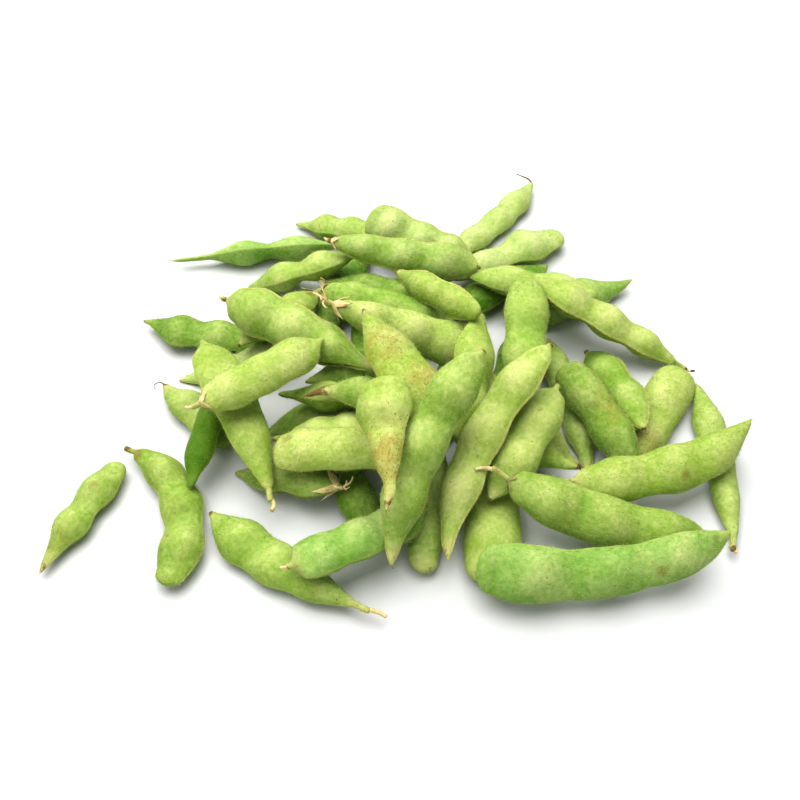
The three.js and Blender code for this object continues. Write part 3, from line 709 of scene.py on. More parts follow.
# %% Characters
CHARACTERS = {
    "front_big": {
        "tint": 0.02,
        "bulge": (-0.10, -0.14, -0.14),
        "stains": [(0.68, 0.35, 3.6, 0.5), (0.93, -0.3, 2.4, 0.6)],
    },
    "front_right_long": {
        "calyx": "green",
        "stalk_bend": (-0.4, 0.2),
        "stains": [(0.35, 0.4, 2.4, 0.5)],
        "pedicel": (5.5, 0.45, -0.5),
    },
    "right_long": {
        "age": 0.3,
        "stains": [(0.52, 0.45, 3.2, 0.55)],
        "pedicel": (2.6, 0.4, 0.6),
        "beak_shape": ("point", 15.0),
    },
    "right_round": {
        "age": 0.6,
        "freckles": [(0.2, 0.1, 8.0, 0.8)],
        "tint": 0.1,
        "beak_shape": ("round", 6.0),
    },
    "right_fuzzy": {"down": 1.6, "warty": 3.6, "age": 0.6, "freckles": [(0.5, -0.8, 9.0, 0.5)]},
    "right_narrow": {"down": 1.4, "warty": 3.0, "ridge": 0.7},
    "right_ridge": {"warty": 3.0, "age": 0.5, "ridge": 1.2, "down": 1.3},
    "right_low": {"stalk_bend": (0.8, 0.2), "pedicel": (1.4, 0.45, 0.2)},
    "crest_front": {
        "age": 0.6,
        "freckles": [(0.62, 0.0, 14.0, 1.0)],
        "hook": 1.5,
        "thread": 2.2,
        "bulge": (0.06, -0.26),
    },
    "crest_triangle": {
        "age": 0.9,
        "tint": -0.08,
        "freckles": [(0.6, 0.4, 12.0, 0.9), (0.25, -0.5, 10.0, 1.0)],
        "beak_shape": ("point", 15.0),
    },
    "crest_long": {"tint": 0.12, "ridge": 1.0},
    "crest_left": {"tint": 0.06, "ridge": 0.6, "thread": 0.8},
    "middle_wide": {"tint": 0.10, "stains": [(0.3, 0.0, 1.8, 0.6)]},
    "middle_tip": {"age": 0.5, "thread": 1.2},
    "middle_twist": {"age": 0.7, "hook": 2.5, "thread": 2.5},
    "middle_round": {"thread": 1.5},
    "back_right_middle": {"tint": 0.14, "stains": [(0.5, -0.1, 1.5, 0.8), (0.25, 0.2, 1.2, 0.8)]},
    "left_clump": {"calyx": "large", "age": 0.8, "stains": [(0.2, 0.4, 3.6, 0.7)], "spikes": 8},
    "back_middle_low": {"calyx": "large", "spikes": 9},
    "front_left_shade": {"calyx": "large", "age": 0.5, "spikes": 7},
    "front_left_long": {"stalk_bend": (0.5, 0.3), "age": 0.4, "pedicel": (5.8, 0.55, 0.45)},
    "left_hang": {"stalk_bend": (0.8, 0.2), "age": 0.3, "pedicel": (4.0, 0.75, 1.3)},
    "left_small": {"thread": 6.0, "curl": 3.0, "thread_thick": 1.3, "age": 0.6},
    "left_split": {
        "split": (0.58, 0.93),
        "age": 0.2,
        "ridge": 1.2,
        "tint": 0.1,
        "pedicel": (2.2, 0.45, 0.5),
    },
    "left_blunt": {
        "age": 0.5,
        "tint": 0.1,
        "stains": [(0.9, -0.3, 4.0, 0.5)],
        "beak_shape": ("round", 4.0),
    },
    "left_outer_bent": {
        "age": 0.9,
        "stains": [(0.1, 0.2, 4.0, 0.6), (0.75, 0.6, 1.6, 0.8)],
        "ridge": 0.8,
        "beak_shape": ("round", 4.5),
    },
    "left_outer_thin": {
        "age": 0.7,
        "stains": [(0.75, 0.0, 7.0, 0.5), (0.3, 0.2, 4.0, 0.4)],
        "bulge": (0.16, 0.14),
        "beak_shape": ("point", 12.0),
    },
    "left_cross": {"calyx": "straw", "tint": 0.08, "pedicel": (2.6, 0.45, 0.8)},
    "back_left_long": {"tint": 0.15, "thread": 1.5, "ridge": 0.25, "age": 0.1},
    "back_right_up": {"thread": 7.5, "curl": 1.5, "thread_thick": 1.9, "thread_bend": -1},
    "back_right_long": {"tint": 0.06, "ridge": 0.9, "pedicel": (4.0, 0.42, -0.4)},
    "crown_back": {"age": 0.5, "ridge": 1.2},
    "crown_long": {"calyx": "straw", "age": 0.4, "ridge": 1.1, "pedicel": (2.0, 0.45, 0.9)},
    "back_edge": {"age": 0.5, "ridge": 1.2, "thread": 1.0},
    "left_behind": {"pedicel": (4.5, 0.4, 0.8)},
    "front_left_pale": {"pedicel": (2.6, 0.38, 0.6)},
    # left_shade lies deep in shadow, and that shade is painted on: a very dark tint, and much olive age that
    # darkens it further.
    "left_shade": {"tint": -0.7, "age": 0.9, "down": 0.3, "bulge": (-0.15, -0.15)},
    "back_right_round": {"bulge": (0.0, 0.26), "tint": 0.15, "beak_shape": ("round", 7.0)},
    "left_far": {"bulge": (0.1, 0.12, 0.14)},
    "back_right_flat": {"beak_shape": ("point", 14.0), "bulge": (0.15, 0.25)},
    "front_stub": {"beak_shape": ("round", 5.0)},
    "front_wide": {"beak_shape": ("round", 7.0)},
    "back_right_upright": {"beak_shape": ("round", 7.0)},
}
print(len(CHARACTERS), "pods have something of their own")

# %% [markdown]
# ## What is usual
#
# The rest of a pod's look is the usual one, changed a little by chance.  The random draws are seeded with
# the pod's name, so a pod keeps its look from run to run, whatever is added or taken out before it.

# %% The look of a pod
ROUND_REACH = 5.0  # mm of the shell that a round stalk end takes in
UNDER_DOWN = 0.3  # the pods at the bottom of the heap hardly show: they get few hairs, and painted shade makes them darker
UNDER_PAINTED_SHADE = -0.25
TINTS = (-0.10, 0.12)  # how much darker or lighter than the rest a pod may be
AGES = (0.05, 0.5)
YOUNG_POWER = 1.3  # above 1, more pods are young than old
HOOKS = (-1.0, 1.0)  # mm that the beak bends, towards the back seam or the front one
CELL_TINTS = (-0.06, 0.06)  # how much darker or lighter than its pod each bean may be
NOISE_SPAN = 900  # the stretch of the noise from which a pod draws the place of its skin's waves
MOST_BEANS = 3
USUAL = {
    "calyx": None,  # which kind
    "stalk": NUB,
    "beak": NUB,
    "stalk_bend": (0.0, 0.0),  # mm towards the front seam, and up
    "stalk_shape": None,
    "beak_shape": None,
    "stains": [],
    "freckles": [],
    "down": 1.0,  # how dense the hairs are
    "ridge": 0.4,  # how high the rims of the seams are
    "warty": 1.0,  # how high the waves of the skin are
    "bulge": (0.0, 0.0, 0.0),
    "split": None,  # from and to, as shares of the way from stalk to beak
    "pedicel": None,
    "spikes": 0,  # how many
    "thread": 0.0,  # mm
    "thread_thick": 1.0,
    "thread_bend": 0.5,  # how late along the thread it bends, and below 0 right at its start
    "curl": 0.6,
}


def character_of(node):
    """What is usual, changed by a seeded draw, and then by what is said of this pod."""
    rng = random.Random("pod " + node)
    drawn = {
        "tint": rng.uniform(*TINTS),
        "age": rng.uniform(*AGES) ** YOUNG_POWER,
        "hook": rng.uniform(*HOOKS),
        "seed": rng.uniform(0, NOISE_SPAN),
        "cells": [rng.uniform(*CELL_TINTS) for _ in range(MOST_BEANS)],
    }
    name = node.removeprefix("pod_")
    look = {**USUAL, **drawn, **CHARACTERS.get(name, {})}
    if name in STALKS_AND_BEAKS:
        look["stalk"], look["beak"] = STALKS_AND_BEAKS[name]
    if look["stalk"] is ROUND:
        look["stalk_shape"] = ("round", ROUND_REACH)
    if look["beak"] is ROUND:
        look["hook"] = 0.0
    # The pods at the bottom get few hairs, and painted shade: their tint is made darker.
    if name.startswith("under"):
        look["down"] = UNDER_DOWN
        look["tint"] += UNDER_PAINTED_SHADE
    return look


look = character_of("pod_front_big")
print("front_big:", {key: value for key, value in look.items() if value != USUAL.get(key)})

# %% [markdown]
# ## The section of a pod
#
# Cut across, a pod isn't an oval.  It comes to an edge at both seams, and each seam is a thin raised rim.
# Over a bean the cheek is domed.  Between beans is a waist: thinner on the cheeks, with a faint crease
# across it.  `on_shell` gives the place of one point of the skin, from how far it lies from the stalk and
# how many degrees round the pod, where 0 is the front seam and 90 the upper cheek.
#
# Stalk and beak are shaped here too.  They bend a little aside, and some end round or drawn out to a point:
# there the bones are those from further in, drawn together.

# %% Section
RIM = {0: 0.42 * MM, 4: 0.36 * MM, 9: 0.10 * MM, 15: -0.06 * MM, 25: -0.04 * MM}  # by degrees from the seam
BODY_ENDS = (6.0 * MM, 5.0 * MM)  # how far from the neck and from the beak's tip the full section begins
EDGED = 0.08  # how far the section draws in to its seams, against an oval, and how much more over a bean
EDGED_AT_BEAN = 0.20
BEAN_REACH = 5.5 * MM
WAIST_CHEEK = 0.20  # how much thinner a pod is between its beans
WAIST_SEAM = 0.06  # how much narrower it is there
CREASE = (0.05, 0.9 * MM)  # how deep a crease across the waist is, as a share of the half, and how wide
WARTS = ((7.0, 0.14), (2.2, 0.05))  # waves of the skin: how long and how high, in mm
STALK_BENDS = 1.3  # how far a stalk's bend reaches, in lengths of the stalk
BEAK_BENDS = 9.0 * MM
POINT_POWER = 0.85  # at 1 a drawn out point has straight sides, and below it they are a little full


def hump(distance, middle, reach):
    """1 at the middle, soft on both sides."""
    return math.exp(-(((distance - middle) / reach) ** 2))


def bent_aside(skeleton, look, distance):
    """How far the stalk and the beak are bent from the bones: (towards the front seam, up)."""
    stalk = (1 - eased(0, skeleton["neck"] * STALK_BENDS, distance)) * MM
    across, up = look["stalk_bend"]
    tip = eased(skeleton["length"] - BEAK_BENDS, skeleton["length"], distance) ** 2
    return across * stalk + look["hook"] * tip * MM, up * stalk


def shaped_bone(skeleton, look, distance):
    """The bone at a distance. Near a round or a pointed end its arms are those further in, drawn together."""
    bone = bone_at(skeleton, distance)
    length = skeleton["length"]
    for shape, off, side in ((look["stalk_shape"], distance, 1), (look["beak_shape"], length - distance, -1)):
        if shape and off < shape[1] * MM:
            inner = distance + side * (shape[1] * MM - off)
            t = 1 - max(0.0, off) / (shape[1] * MM)
            drawn = math.sqrt(max(0.0, 1 - t * t)) if shape[0] == "round" else (1 - t) ** POINT_POWER
            bone[1:] = [drawn * arm for arm in bone_at(skeleton, inner)[1:]]
    return bone


def on_shell(skeleton, look, distance, degrees, from_seam):
    """(a point of the shell, the middle of the pod there, how near a bean it is)"""
    middle, seam, cheek, other = shaped_bone(skeleton, look, distance)
    across = seam.normalized() if seam.length > 0 else Vector()
    if seam.length > 0:
        bend_across, bend_up = bent_aside(skeleton, look, distance)
        middle = middle + across * bend_across + Vector((0, 0, 1)) * bend_up
    sine, cosine = math.sin(math.radians(degrees)), math.cos(math.radians(degrees))
    body = eased(skeleton["neck"], skeleton["neck"] + BODY_ENDS[0], distance)
    body *= eased(skeleton["length"], skeleton["length"] - BODY_ENDS[1], distance)
    near_beans = [hump(distance, b, BEAN_REACH) for b in skeleton["beans"]]
    bean = max(near_beans)

    # The oval of the bones, drawn in to its seams and at its waists.
    waist = body * (1 - bean)
    creased = sum(hump(distance, w, CREASE[1]) for w in skeleton["waists"])
    rise = abs(sine) ** (1 + body * (EDGED + EDGED_AT_BEAN * bean))
    rise *= 1 - WAIST_CHEEK * waist - CREASE[0] * creased
    offset = seam * cosine * (1 - WAIST_SEAM * waist) + (cheek if sine > 0 else other) * rise

    # The rims of the seams, one of which may have opened.
    rim = RIM.get(from_seam, 0.0) * look["ridge"] * body
    outwards, lifted = opened(skeleton, look, distance, degrees, from_seam) if look["split"] else (0.0, 0.0)
    offset += across * (rim + outwards) * (1 if cosine > 0 else -1)

    # Beans that swell more or less than the bones say, and the waves of the skin.
    offset *= 1 + body * sum(extra * near for near, extra in zip(near_beans, look["bulge"]))
    point = middle + offset
    for wave, height in WARTS:
        ripple = noise.noise(point / (wave * MM) + Vector((look["seed"], 0, 0)))
        offset *= 1 + body * height * look["warty"] * MM * ripple / max(offset.length, MM)
    if lifted:
        offset += lifted * cheek.normalized()
    point = middle + offset
    point.z = max(point.z, 0.0)
    return point, middle, bean


print("at a ridge of 1 a rim stands", round(max(RIM.values()) / MM, 2), "mm out")

# %% [markdown]
# ## A seam that opens
#
# A ripe pod splits along its front seam.  The upper valve bends up and the rim of the lower one stays, so a
# slit shows between them.  Only a few columns next to the seam move: one of them sinks, as the floor of the
# slit, and it is coloured brown.  The slit is widest in its middle and runs out at both ends.

# %% Split
SLIT_OUTWARDS = {9: -2.4, 15: -0.2}  # mm, by degrees from the seam: below 0 the skin sinks
SLIT_LIFTS = {4: -0.3, 9: -0.9, 15: 0.75, 25: 0.5, 38: 0.2}  # mm up
SLIT_BROWN = {9: 1.0, 15: 0.35}
SLIT_TAPER = 0.7  # how bluntly the slit ends


def opened(skeleton, look, distance, degrees, from_seam):
    """How a seam that opens moves the shell: (outwards at the seam, up across it)."""
    low, high = (share * skeleton["length"] for share in look["split"])
    width = math.sin(math.pi * min(1.0, max(0.0, (distance - low) / (high - low)))) ** SLIT_TAPER
    if not 0 < degrees < 90 or width <= 0:
        return 0.0, 0.0
    return SLIT_OUTWARDS.get(from_seam, 0.0) * width * MM, SLIT_LIFTS.get(from_seam, 0.0) * width * MM


print("a slit", -min(SLIT_OUTWARDS.values()), "mm deep")

# %% [markdown]
# ## Where the colours go
#
# These functions give the numbers that the skin's material reads: patches for stains and freckles, a tint
# for each bean, and the straw and brown of the two ends.

# %% Colour places
PATCH_SOLID = 0.2  # the share of a patch's radius that is at full depth
PATCH_LOWEST = -0.2  # how far round to the lower cheek a patch goes, as the sine of the degrees
CELL_EDGE = 1.5 * MM  # how softly one bean's tint goes over to the next
STRAW_FADES = (0.6, 5.0)  # straw fades from this share of the brown's reach to so many mm past it
BROWN_FADES = (0.4, 1.4)  # brown fades between these shares of its reach


def patch(skeleton, patches, distance, degrees):
    """How deep in a patch this place is, 0 to 1."""
    worst = 0.0
    across = math.cos(math.radians(degrees))
    half = bone_at(skeleton, distance)[1].length
    for share, aside, radius, depth in patches:
        off = math.hypot(distance - share * skeleton["length"], (across - aside) * half)
        if math.sin(math.radians(degrees)) > PATCH_LOWEST:
            worst = max(worst, depth * (1 - eased(PATCH_SOLID * radius * MM, radius * MM, off)))
    return worst


def cell_tint(skeleton, look, distance):
    """Each bean has its own tint, which changes over at the waist between two beans."""
    cells = look["cells"]
    tint = cells[0]
    for waist, before, after in zip(skeleton["waists"], cells, cells[1:]):
        tint += (after - before) * eased(waist - CELL_EDGE, waist + CELL_EDGE, distance)
    return tint


def end_colours(skeleton, look, distance):
    """(how straw-coloured, how brown) the pod is for the nearness of its stalk and its beak."""
    straw, brown = 0.0, 0.0
    from_beak = skeleton["length"] - distance
    for off, (pale, dark, reach) in ((distance, look["stalk"]), (from_beak, look["beak"])):
        straw_to = (reach + STRAW_FADES[1]) * MM
        straw = max(straw, pale * (1 - eased(STRAW_FADES[0] * reach * MM, straw_to, off)))
        brown = max(brown, dark * (1 - eased(BROWN_FADES[0] * reach * MM, BROWN_FADES[1] * reach * MM, off)))
    return straw, brown


ends = [round(v, 2) for v in end_colours(skeleton, look, skeleton["length"])]
print("straw and brown at the beak of front_big:", ends)

# %% [markdown]
# ## The shell
#
# A pod's shell starts as a flat grid: one side of it runs from stalk to beak, the other goes once round.
# Each grid point is then moved to its place on the pod, the two edges that meet are merged, and so are the
# two rows that shrink to a point.  A grid brings its own UV map, which is why it is better here than a
# tube.  Columns are close together at a seam to hold its rim, and rows at both ends, where the shell
# narrows.

# %% Shell
ROW_LENGTH = 0.66 * MM
ENDS_FINER = 0.09
QUARTER = (0, 4, 9, 15, 25, 38, 52, 65, 78, 90)  # degrees from a seam to the middle of a cheek
AROUND = 4 * (len(QUARTER) - 1)
SEAM_COLOURED = (5, 14)  # the seam's own colour fades out between these degrees
SHOULDER = 5.0 * MM  # past the neck, and it comes in over this length
BEAN_LIGHT_POWER = 1.5  # how narrow the painted light over a bean is
PAINTED_TOP_LIGHT = 0.24  # painted light: how much lighter the skin is made where it faces up, and darker where it faces down
PAINTED_TOP_LIGHT_LEVEL = 0.3  # the slope of the skin that is neither lighter nor darker for the painted light


def angle_of(column):
    """(degrees round the pod, degrees from the nearest seam)"""
    quarter, step = divmod(column % AROUND, len(QUARTER) - 1)
    from_seam = QUARTER[step] if quarter % 2 == 0 else QUARTER[-1 - step]
    degrees = quarter * 90 + QUARTER[step] if quarter % 2 == 0 else (quarter + 1) * 90 - from_seam
    return degrees, from_seam


def skin_numbers(skeleton, look, distance, degrees, from_seam, bean):
    """The value of every attribute at one point of the shell."""
    straw, brown = end_colours(skeleton, look, distance)
    if look["split"]:
        sunk = -opened(skeleton, look, distance, degrees, from_seam)[0] / MM
        brown = max(brown, SLIT_BROWN.get(from_seam, 0.0) * sunk)
    on_shoulder = eased(skeleton["neck"], skeleton["neck"] + SHOULDER, distance)
    return {
        "bean": bean * math.sin(math.radians(from_seam)) ** BEAN_LIGHT_POWER,
        "seam": (1 - eased(*SEAM_COLOURED, from_seam)) * on_shoulder * min(1.0, look["ridge"]),
        "ends": straw,
        "brown": brown,
        "age": look["age"],
        "tint": look["tint"] + cell_tint(skeleton, look, distance),
        "stain": patch(skeleton, look["stains"], distance, degrees),
        "freckle": patch(skeleton, look["freckles"], distance, degrees),
    }


def shell_of(node, skeleton, look):
    """The whole shell with its stalk and beak, as one closed surface."""
    length = skeleton["length"]
    bm = bmesh.new()
    bm.loops.layers.uv.new("shell")
    layers = {label: bm.verts.layers.float.new(label) for label in ATTRIBUTES}
    rows = round(length / ROW_LENGTH)
    bmesh.ops.create_grid(bm, x_segments=rows, y_segments=AROUND, size=1, calc_uvs=True)
    for v in bm.verts:
        share = (v.co.x + 1) / 2
        distance = length * (share - ENDS_FINER * math.sin(2 * math.pi * share))
        degrees, from_seam = angle_of(round((v.co.y + 1) / 2 * AROUND))
        v.co, _, bean = on_shell(skeleton, look, distance, degrees, from_seam)
        for label, value in skin_numbers(skeleton, look, distance, degrees, from_seam, bean).items():
            v[layers[label]] = value
    bmesh.ops.remove_doubles(bm, verts=bm.verts, dist=0.002 * MM)
    bmesh.ops.recalc_face_normals(bm, faces=bm.faces)
    bm.normal_update()
    # Painted light and shade: the skin is made lighter where it faces up and darker where it faces down.
    for v in bm.verts:
        v[layers["tint"]] += PAINTED_TOP_LIGHT * (v.normal.z - PAINTED_TOP_LIGHT_LEVEL)
    return finished(bm, node.replace("pod_", "shell_"), skins[slot_of[node]])


print("a shell has", AROUND, "columns")

# %% [markdown]
# ## The calyx
#
# Where the stalk meets the shell sits what is left of the flower's cup: a thin collar with five pointed
# lobes that hug the shoulder of the pod.  It is a small grid again, wrapped round the stalk just off the
# shell.  The grid's far edge is pulled out to five points, and `solidify` gives the leaf its thickness.

# %% Calyx
LOBES = 5
CALYX = {
    "green": {"collar": 0.7, "lobe": 1.7, "lift": 0.30, "curl": 0.25, "material": green_calyx},
    "straw": {"collar": 0.9, "lobe": 2.4, "lift": 0.35, "curl": 0.70, "material": straw_calyx},
    "large": {"collar": 1.2, "lobe": 4.2, "lift": 0.40, "curl": 2.10, "material": straw_calyx},
}
CALYX_ROWS = 5
CALYX_COLUMNS = 30
CALYX_THICKNESS = 0.12 * MM
CALYX_START = 0.5  # mm short of the neck, where the collar sits on the stalk
STALK_CLEAR = 0.2 * MM  # no part of it comes nearer to the stalk's end than this
LOBE_LENGTHS = (0.75, 1.15)
LOBE_CURLS = (0.3, 1.3)
LOBE_GATHER = 0.12  # how far each lobe draws together sideways towards its tip
LOBE_POWER = 0.8  # at 1 a lobe has straight sides, and below it they are a little full
LIFT_AT_FOOT = 0.4  # the share of the lift that the collar has where it starts


def calyx_of(node, skeleton, look):
    kind = CALYX[look["calyx"]]
    rng = random.Random("calyx " + node)
    reach = [rng.uniform(*LOBE_LENGTHS) for _ in range(LOBES)]
    curl = [rng.uniform(*LOBE_CURLS) for _ in range(LOBES)]
    bm = bmesh.new()
    bm.loops.layers.uv.new("calyx")
    bmesh.ops.create_grid(bm, x_segments=CALYX_ROWS, y_segments=CALYX_COLUMNS, size=1, calc_uvs=True)
    for v in bm.verts:
        up = (v.co.x + 1) / 2
        turn = (v.co.y + 1) / 2 * LOBES % LOBES
        lobe = int(turn)
        point = 1 - abs(2 * (turn - lobe) - 1)
        height = kind["collar"] + kind["lobe"] * reach[lobe] * point**LOBE_POWER
        distance = skeleton["neck"] + (height * up - CALYX_START) * MM
        degrees = 360 * (turn + LOBE_GATHER * math.sin(2 * math.pi * turn) * up) / LOBES
        place, middle, _ = on_shell(skeleton, look, max(distance, STALK_CLEAR), degrees, 90)
        outwards = (place - middle).normalized()
        lift = kind["lift"] * (LIFT_AT_FOOT + up) + kind["curl"] * curl[lobe] * (up * point) ** 2
        v.co = place + outwards * lift * MM
        v.co.z = max(v.co.z, 0.0)
    bmesh.ops.remove_doubles(bm, verts=bm.verts, dist=0.01 * MM)
    bmesh.ops.recalc_face_normals(bm, faces=bm.faces)
    bmesh.ops.solidify(bm, geom=bm.faces, thickness=CALYX_THICKNESS)
    bmesh.ops.recalc_face_normals(bm, faces=bm.faces)
    return finished(bm, node.replace("pod_", "calyx_"), kind["material"])


print("kinds of calyx:", list(CALYX))

# %% [markdown]
# ## A dry tube
#
# Three kinds of dead thread hold to a pod, and all are thin tubes.  A tube is a circle that is extruded
# from place to place and grows thinner or thicker: `extrude_edge_only` adds each new ring, which is then
# turned a little towards the side that the tube curls to.

# %% Tubes
TUBE_SIDES = 6
TUBE_STEPS = 12
EARLY_BEND = (3, 4)  # for a bend below 0: how strong, and how soon it is over


def grow_tube(bm, start, heading, lifted, length, thick, curl=0.0, taper=0.93, bend=0.5):
    """A closed tube from a place, along a heading, that curls over to `lifted` and changes in thickness."""
    ring = bmesh.ops.create_circle(bm, cap_ends=True, segments=TUBE_SIDES, radius=thick)
    edges = list(ring["verts"][0].link_faces[0].edges)
    stand = heading.to_track_quat("Z", "Y").to_matrix().to_4x4()
    bmesh.ops.transform(bm, matrix=Matrix.Translation(start) @ stand, verts=ring["verts"])
    here, facing = start, heading
    for k in range(TUBE_STEPS):
        along = k / TUBE_STEPS
        share = along**bend if bend > 0 else EARLY_BEND[0] * (1 - along) ** EARLY_BEND[1]
        new_facing = (facing + lifted * (curl * 2 / TUBE_STEPS * share)).normalized()
        spin = facing.rotation_difference(new_facing).to_matrix().to_4x4()
        lifted = spin.to_3x3() @ lifted
        there = here + new_facing * length / TUBE_STEPS
        out = bmesh.ops.extrude_edge_only(bm, edges=edges)
        grown = [g for g in out["geom"] if isinstance(g, bmesh.types.BMVert)]
        edges = [g for g in out["geom"] if isinstance(g, bmesh.types.BMEdge)]
        move = Matrix.Translation(there) @ spin @ Matrix.Scale(taper, 4) @ Matrix.Translation(-here)
        bmesh.ops.transform(bm, matrix=move, verts=grown)
        here, facing = there, new_facing
    bmesh.ops.edgeloop_fill(bm, edges=edges)


def tubes(node, kind, material, given):
    """One piece of one or more tubes, each given by what `grow_tube` takes."""
    bm = bmesh.new()
    for values in given:
        grow_tube(bm, **values)
    for v in bm.verts:
        v.co.z = max(v.co.z, 0.0)
    bmesh.ops.recalc_face_normals(bm, faces=bm.faces)
    return finished(bm, node.replace("pod_", kind + "_"), material)


def sideways(heading, side, lift):
    """A direction to one side of a heading, with some lift."""
    return (heading.cross(Vector((0, 0, 1))).normalized() * side + Vector((0, 0, lift))).normalized()


print("a tube has", TUBE_SIDES, "sides and", TUBE_STEPS, "steps")

# %% [markdown]
# ## Threads, stems and spikes
#
# The beak ends in what is left of the style, a brown thread that dries into a hook or a curl.  At the other
# end some pods keep their stem, which is dry and bent, and a few keep the withered flower: a bunch of dry
# threads round the stalk, some of them thick and curled, others thin and straight.  Each starts a little
# inside the shell, so that no gap shows.

# %% Threads, stems and spikes
THREAD_THICK = 0.22 * MM
THREAD_ROOT = 0.9 * MM  # how far inside the beak a thread starts
THREAD_LIFTS = (-0.1, 0.6)
BEAK_AIM = 2 * MM  # the beak's heading is taken over this length, and the stalk's over the next
STALK_AIM = 1.5 * MM
STALK_ROOT = 0.4  # how far along that length a stem starts, from the inside
STEM_LIFTS = (-0.2, 0.3)
STEM_FIT = 0.95  # the stem's thickness where it starts, against the stalk's
SPIKES = {
    "curled": {"length": (5, 8), "thick": 0.60, "curl": (2.2, 3.2)},
    "straight": {"length": (3, 6), "thick": 0.28, "curl": (0.1, 0.8)},
}
CURLED_EVERY = 3
SPIKE_SPREAD = 0.55
SPIKE_RISE = Vector((0, 0, 0.5))
SPIKE_ROOTS = (0.2, 1.4)  # mm back from the stalk's end


def thread_of(node, skeleton, look):
    rng = random.Random("thread " + node)
    end = skeleton["length"] - THREAD_ROOT
    start = on_shell(skeleton, look, end, 90, 90)[1]
    before = on_shell(skeleton, look, end - BEAK_AIM, 90, 90)[1]
    heading = (start - before).normalized()
    given = {
        "start": start,
        "heading": heading,
        "lifted": sideways(heading, rng.choice((-1, 1)), rng.uniform(*THREAD_LIFTS)),
        "length": look["thread"] * MM + THREAD_ROOT,
        "thick": THREAD_THICK * look["thread_thick"],
        "curl": look["curl"],
        "bend": look["thread_bend"],
    }
    return tubes(node, "thread", withered, [given])


def stalk_end(skeleton, look):
    """(the end of the stalk, the way it points), a little inside the shell."""
    end = on_shell(skeleton, look, 0.0, 90, 90)[1]
    inside = on_shell(skeleton, look, STALK_AIM, 90, 90)[1]
    return inside.lerp(end, STALK_ROOT), (end - inside).normalized()


def stem_of(node, skeleton, look):
    """The stem that still holds to the stalk, as thick as the stalk where it starts."""
    length, thick, curl = look["pedicel"]
    start, heading = stalk_end(skeleton, look)
    rng = random.Random("pedicel " + node)
    broad = STEM_FIT * skeleton["bones"][1][1].length
    given = {
        "start": start,
        "heading": heading,
        "lifted": sideways(heading, 1 if curl > 0 else -1, rng.uniform(*STEM_LIFTS)),
        "length": length * MM,
        "thick": broad,
        "curl": abs(curl),
        "taper": (thick * MM / broad) ** (1 / TUBE_STEPS),
    }
    return tubes(node, "stem", straw_calyx, [given])


def spikes_of(node, skeleton, look):
    """The dry threads of a withered flower round the stalk."""
    rng = random.Random("spikes " + node)
    end, heading = stalk_end(skeleton, look)
    given = []
    for k in range(look["spikes"]):
        kind = SPIKES["straight" if k % CURLED_EVERY else "curled"]
        aside = Vector((rng.gauss(0, 1), rng.gauss(0, 1), abs(rng.gauss(0, 1)))) * SPIKE_SPREAD
        given.append({
            "start": end - heading * rng.uniform(*SPIKE_ROOTS) * MM,
            "heading": (heading + aside + SPIKE_RISE).normalized(),
            "lifted": Vector((rng.gauss(0, 1), rng.gauss(0, 1), rng.gauss(0, 0.6))).normalized(),
            "length": rng.uniform(*kind["length"]) * MM,
            "thick": kind["thick"] * MM,
            "curl": rng.uniform(*kind["curl"]),
        })
    return tubes(node, "spikes", straw_calyx, given)


threads = [name for name, special in CHARACTERS.items() if "thread" in special]
print("pods with a thread:", threads)

# %% [markdown]
# ## The down
#
# Each pod is covered in short hairs that lean towards the beak.  A hair is a pyramid of four faces.  All of
# a pod's hairs are made together from its shell: pick faces of a copy at random, part them with
# `split_edges`, shrink each to a hair's root, keep a flipped copy as the root's floor, and `poke` the
# faces, which raises a point in the middle of each.  The points are then drawn out to hairs.

# %% Down
HAIRS_PER_MM2 = 1.7
HAIR_LENGTH = (0.55, 1.3)  # mm, from the shortest to the longest
HAIR_ROOT = 0.06 * MM
HAIR_SUNK = 0.05 * MM
LEAN = 0.9  # how far a hair leans to the beak, against how far it stands up
WILD = 0.35  # how far it strays from that by chance
GROUND_CLEAR = 0.25 * MM  # no hair grows lower than this
TIP_CLEAR = 0.02 * MM


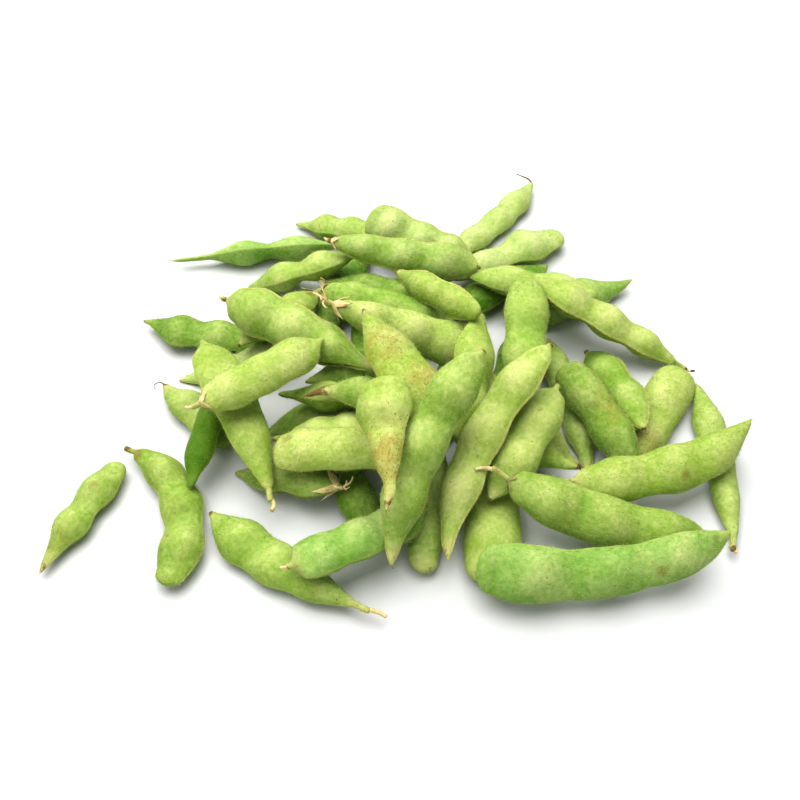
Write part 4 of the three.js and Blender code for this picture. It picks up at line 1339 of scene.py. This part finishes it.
def down_of(node, shell, skeleton, look):
    rng = random.Random("down " + node)
    bm = bmesh.new()
    bm.from_mesh(shell.data)
    bmesh.ops.triangulate(bm, faces=bm.faces)
    faces = list(bm.faces)
    areas = [f.calc_area() if f.calc_center_median().z > GROUND_CLEAR else 0.0 for f in faces]
    count = round(sum(areas) / MM**2 * HAIRS_PER_MM2 * look["down"])
    chosen = set(rng.choices(faces, weights=areas, k=count))
    bmesh.ops.delete(bm, geom=[f for f in faces if f not in chosen], context="FACES")
    bmesh.ops.split_edges(bm, edges=bm.edges)
    bm.faces.ensure_lookup_table()
    heading = (skeleton["bones"][-1][0] - skeleton["bones"][0][0]).normalized()
    tips = []
    for face in bm.faces:
        weights = sorted((rng.random(), rng.random()))
        a, b, c = (v.co.copy() for v in face.verts)
        root = a * weights[0] + b * (weights[1] - weights[0]) + c * (1 - weights[1])
        normal = face.normal.copy()
        wild = Vector((rng.gauss(0, 1), rng.gauss(0, 1), rng.gauss(0, 1))) * WILD
        direction = (normal + heading * LEAN + wild).normalized()
        tip = root + direction * rng.uniform(*HAIR_LENGTH) * MM
        tip.z = max(tip.z, TIP_CLEAR)
        spoke = normal.orthogonal().normalized() * HAIR_ROOT
        third = Matrix.Rotation(math.radians(120), 3, normal)
        for v in face.verts:
            v.co = root - normal * HAIR_SUNK + spoke
            spoke = third @ spoke
        tips.append(tip)
    roots = list(bm.faces)
    floors = bmesh.ops.duplicate(bm, geom=roots)["geom"]
    bmesh.ops.reverse_faces(bm, faces=[g for g in floors if isinstance(g, bmesh.types.BMFace)])
    points = bmesh.ops.poke(bm, faces=roots)["verts"]
    for v, tip in zip(points, tips):
        v.co = tip
    bmesh.ops.remove_doubles(bm, verts=bm.verts, dist=0.0001 * MM)
    return finished(bm, node.replace("pod_", "down_"), down)


print("at most", HAIRS_PER_MM2, "hairs on a square millimetre of a usual pod")

# %% [markdown]
# ## Dressing every pod
#
# The shell replaces the faceted solid, which is then hidden.  The hairs and the dry parts are pieces of
# their own that ride along.

# %% Dress the pods
counts = {}


def keep(piece):
    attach(piece, "root")
    kind = piece.name.split("_")[0]
    counts[kind] = counts.get(kind, 0) + sum(len(polygon.vertices) - 2 for polygon in piece.data.polygons)
    return piece


for node in pods:
    look = character_of(node)
    skeleton = skeleton_of(node, has_stalk=look["stalk"] is not ROUND)
    shell = keep(shell_of(node, skeleton, look))
    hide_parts(node)
    keep(down_of(node, shell, skeleton, look))
    if look["calyx"]:
        keep(calyx_of(node, skeleton, look))
    if look["thread"]:
        keep(thread_of(node, skeleton, look))
    if look["pedicel"]:
        keep(stem_of(node, skeleton, look))
    if look["spikes"]:
        keep(spikes_of(node, skeleton, look))
print("triangles:", counts, "in all", sum(counts.values()))
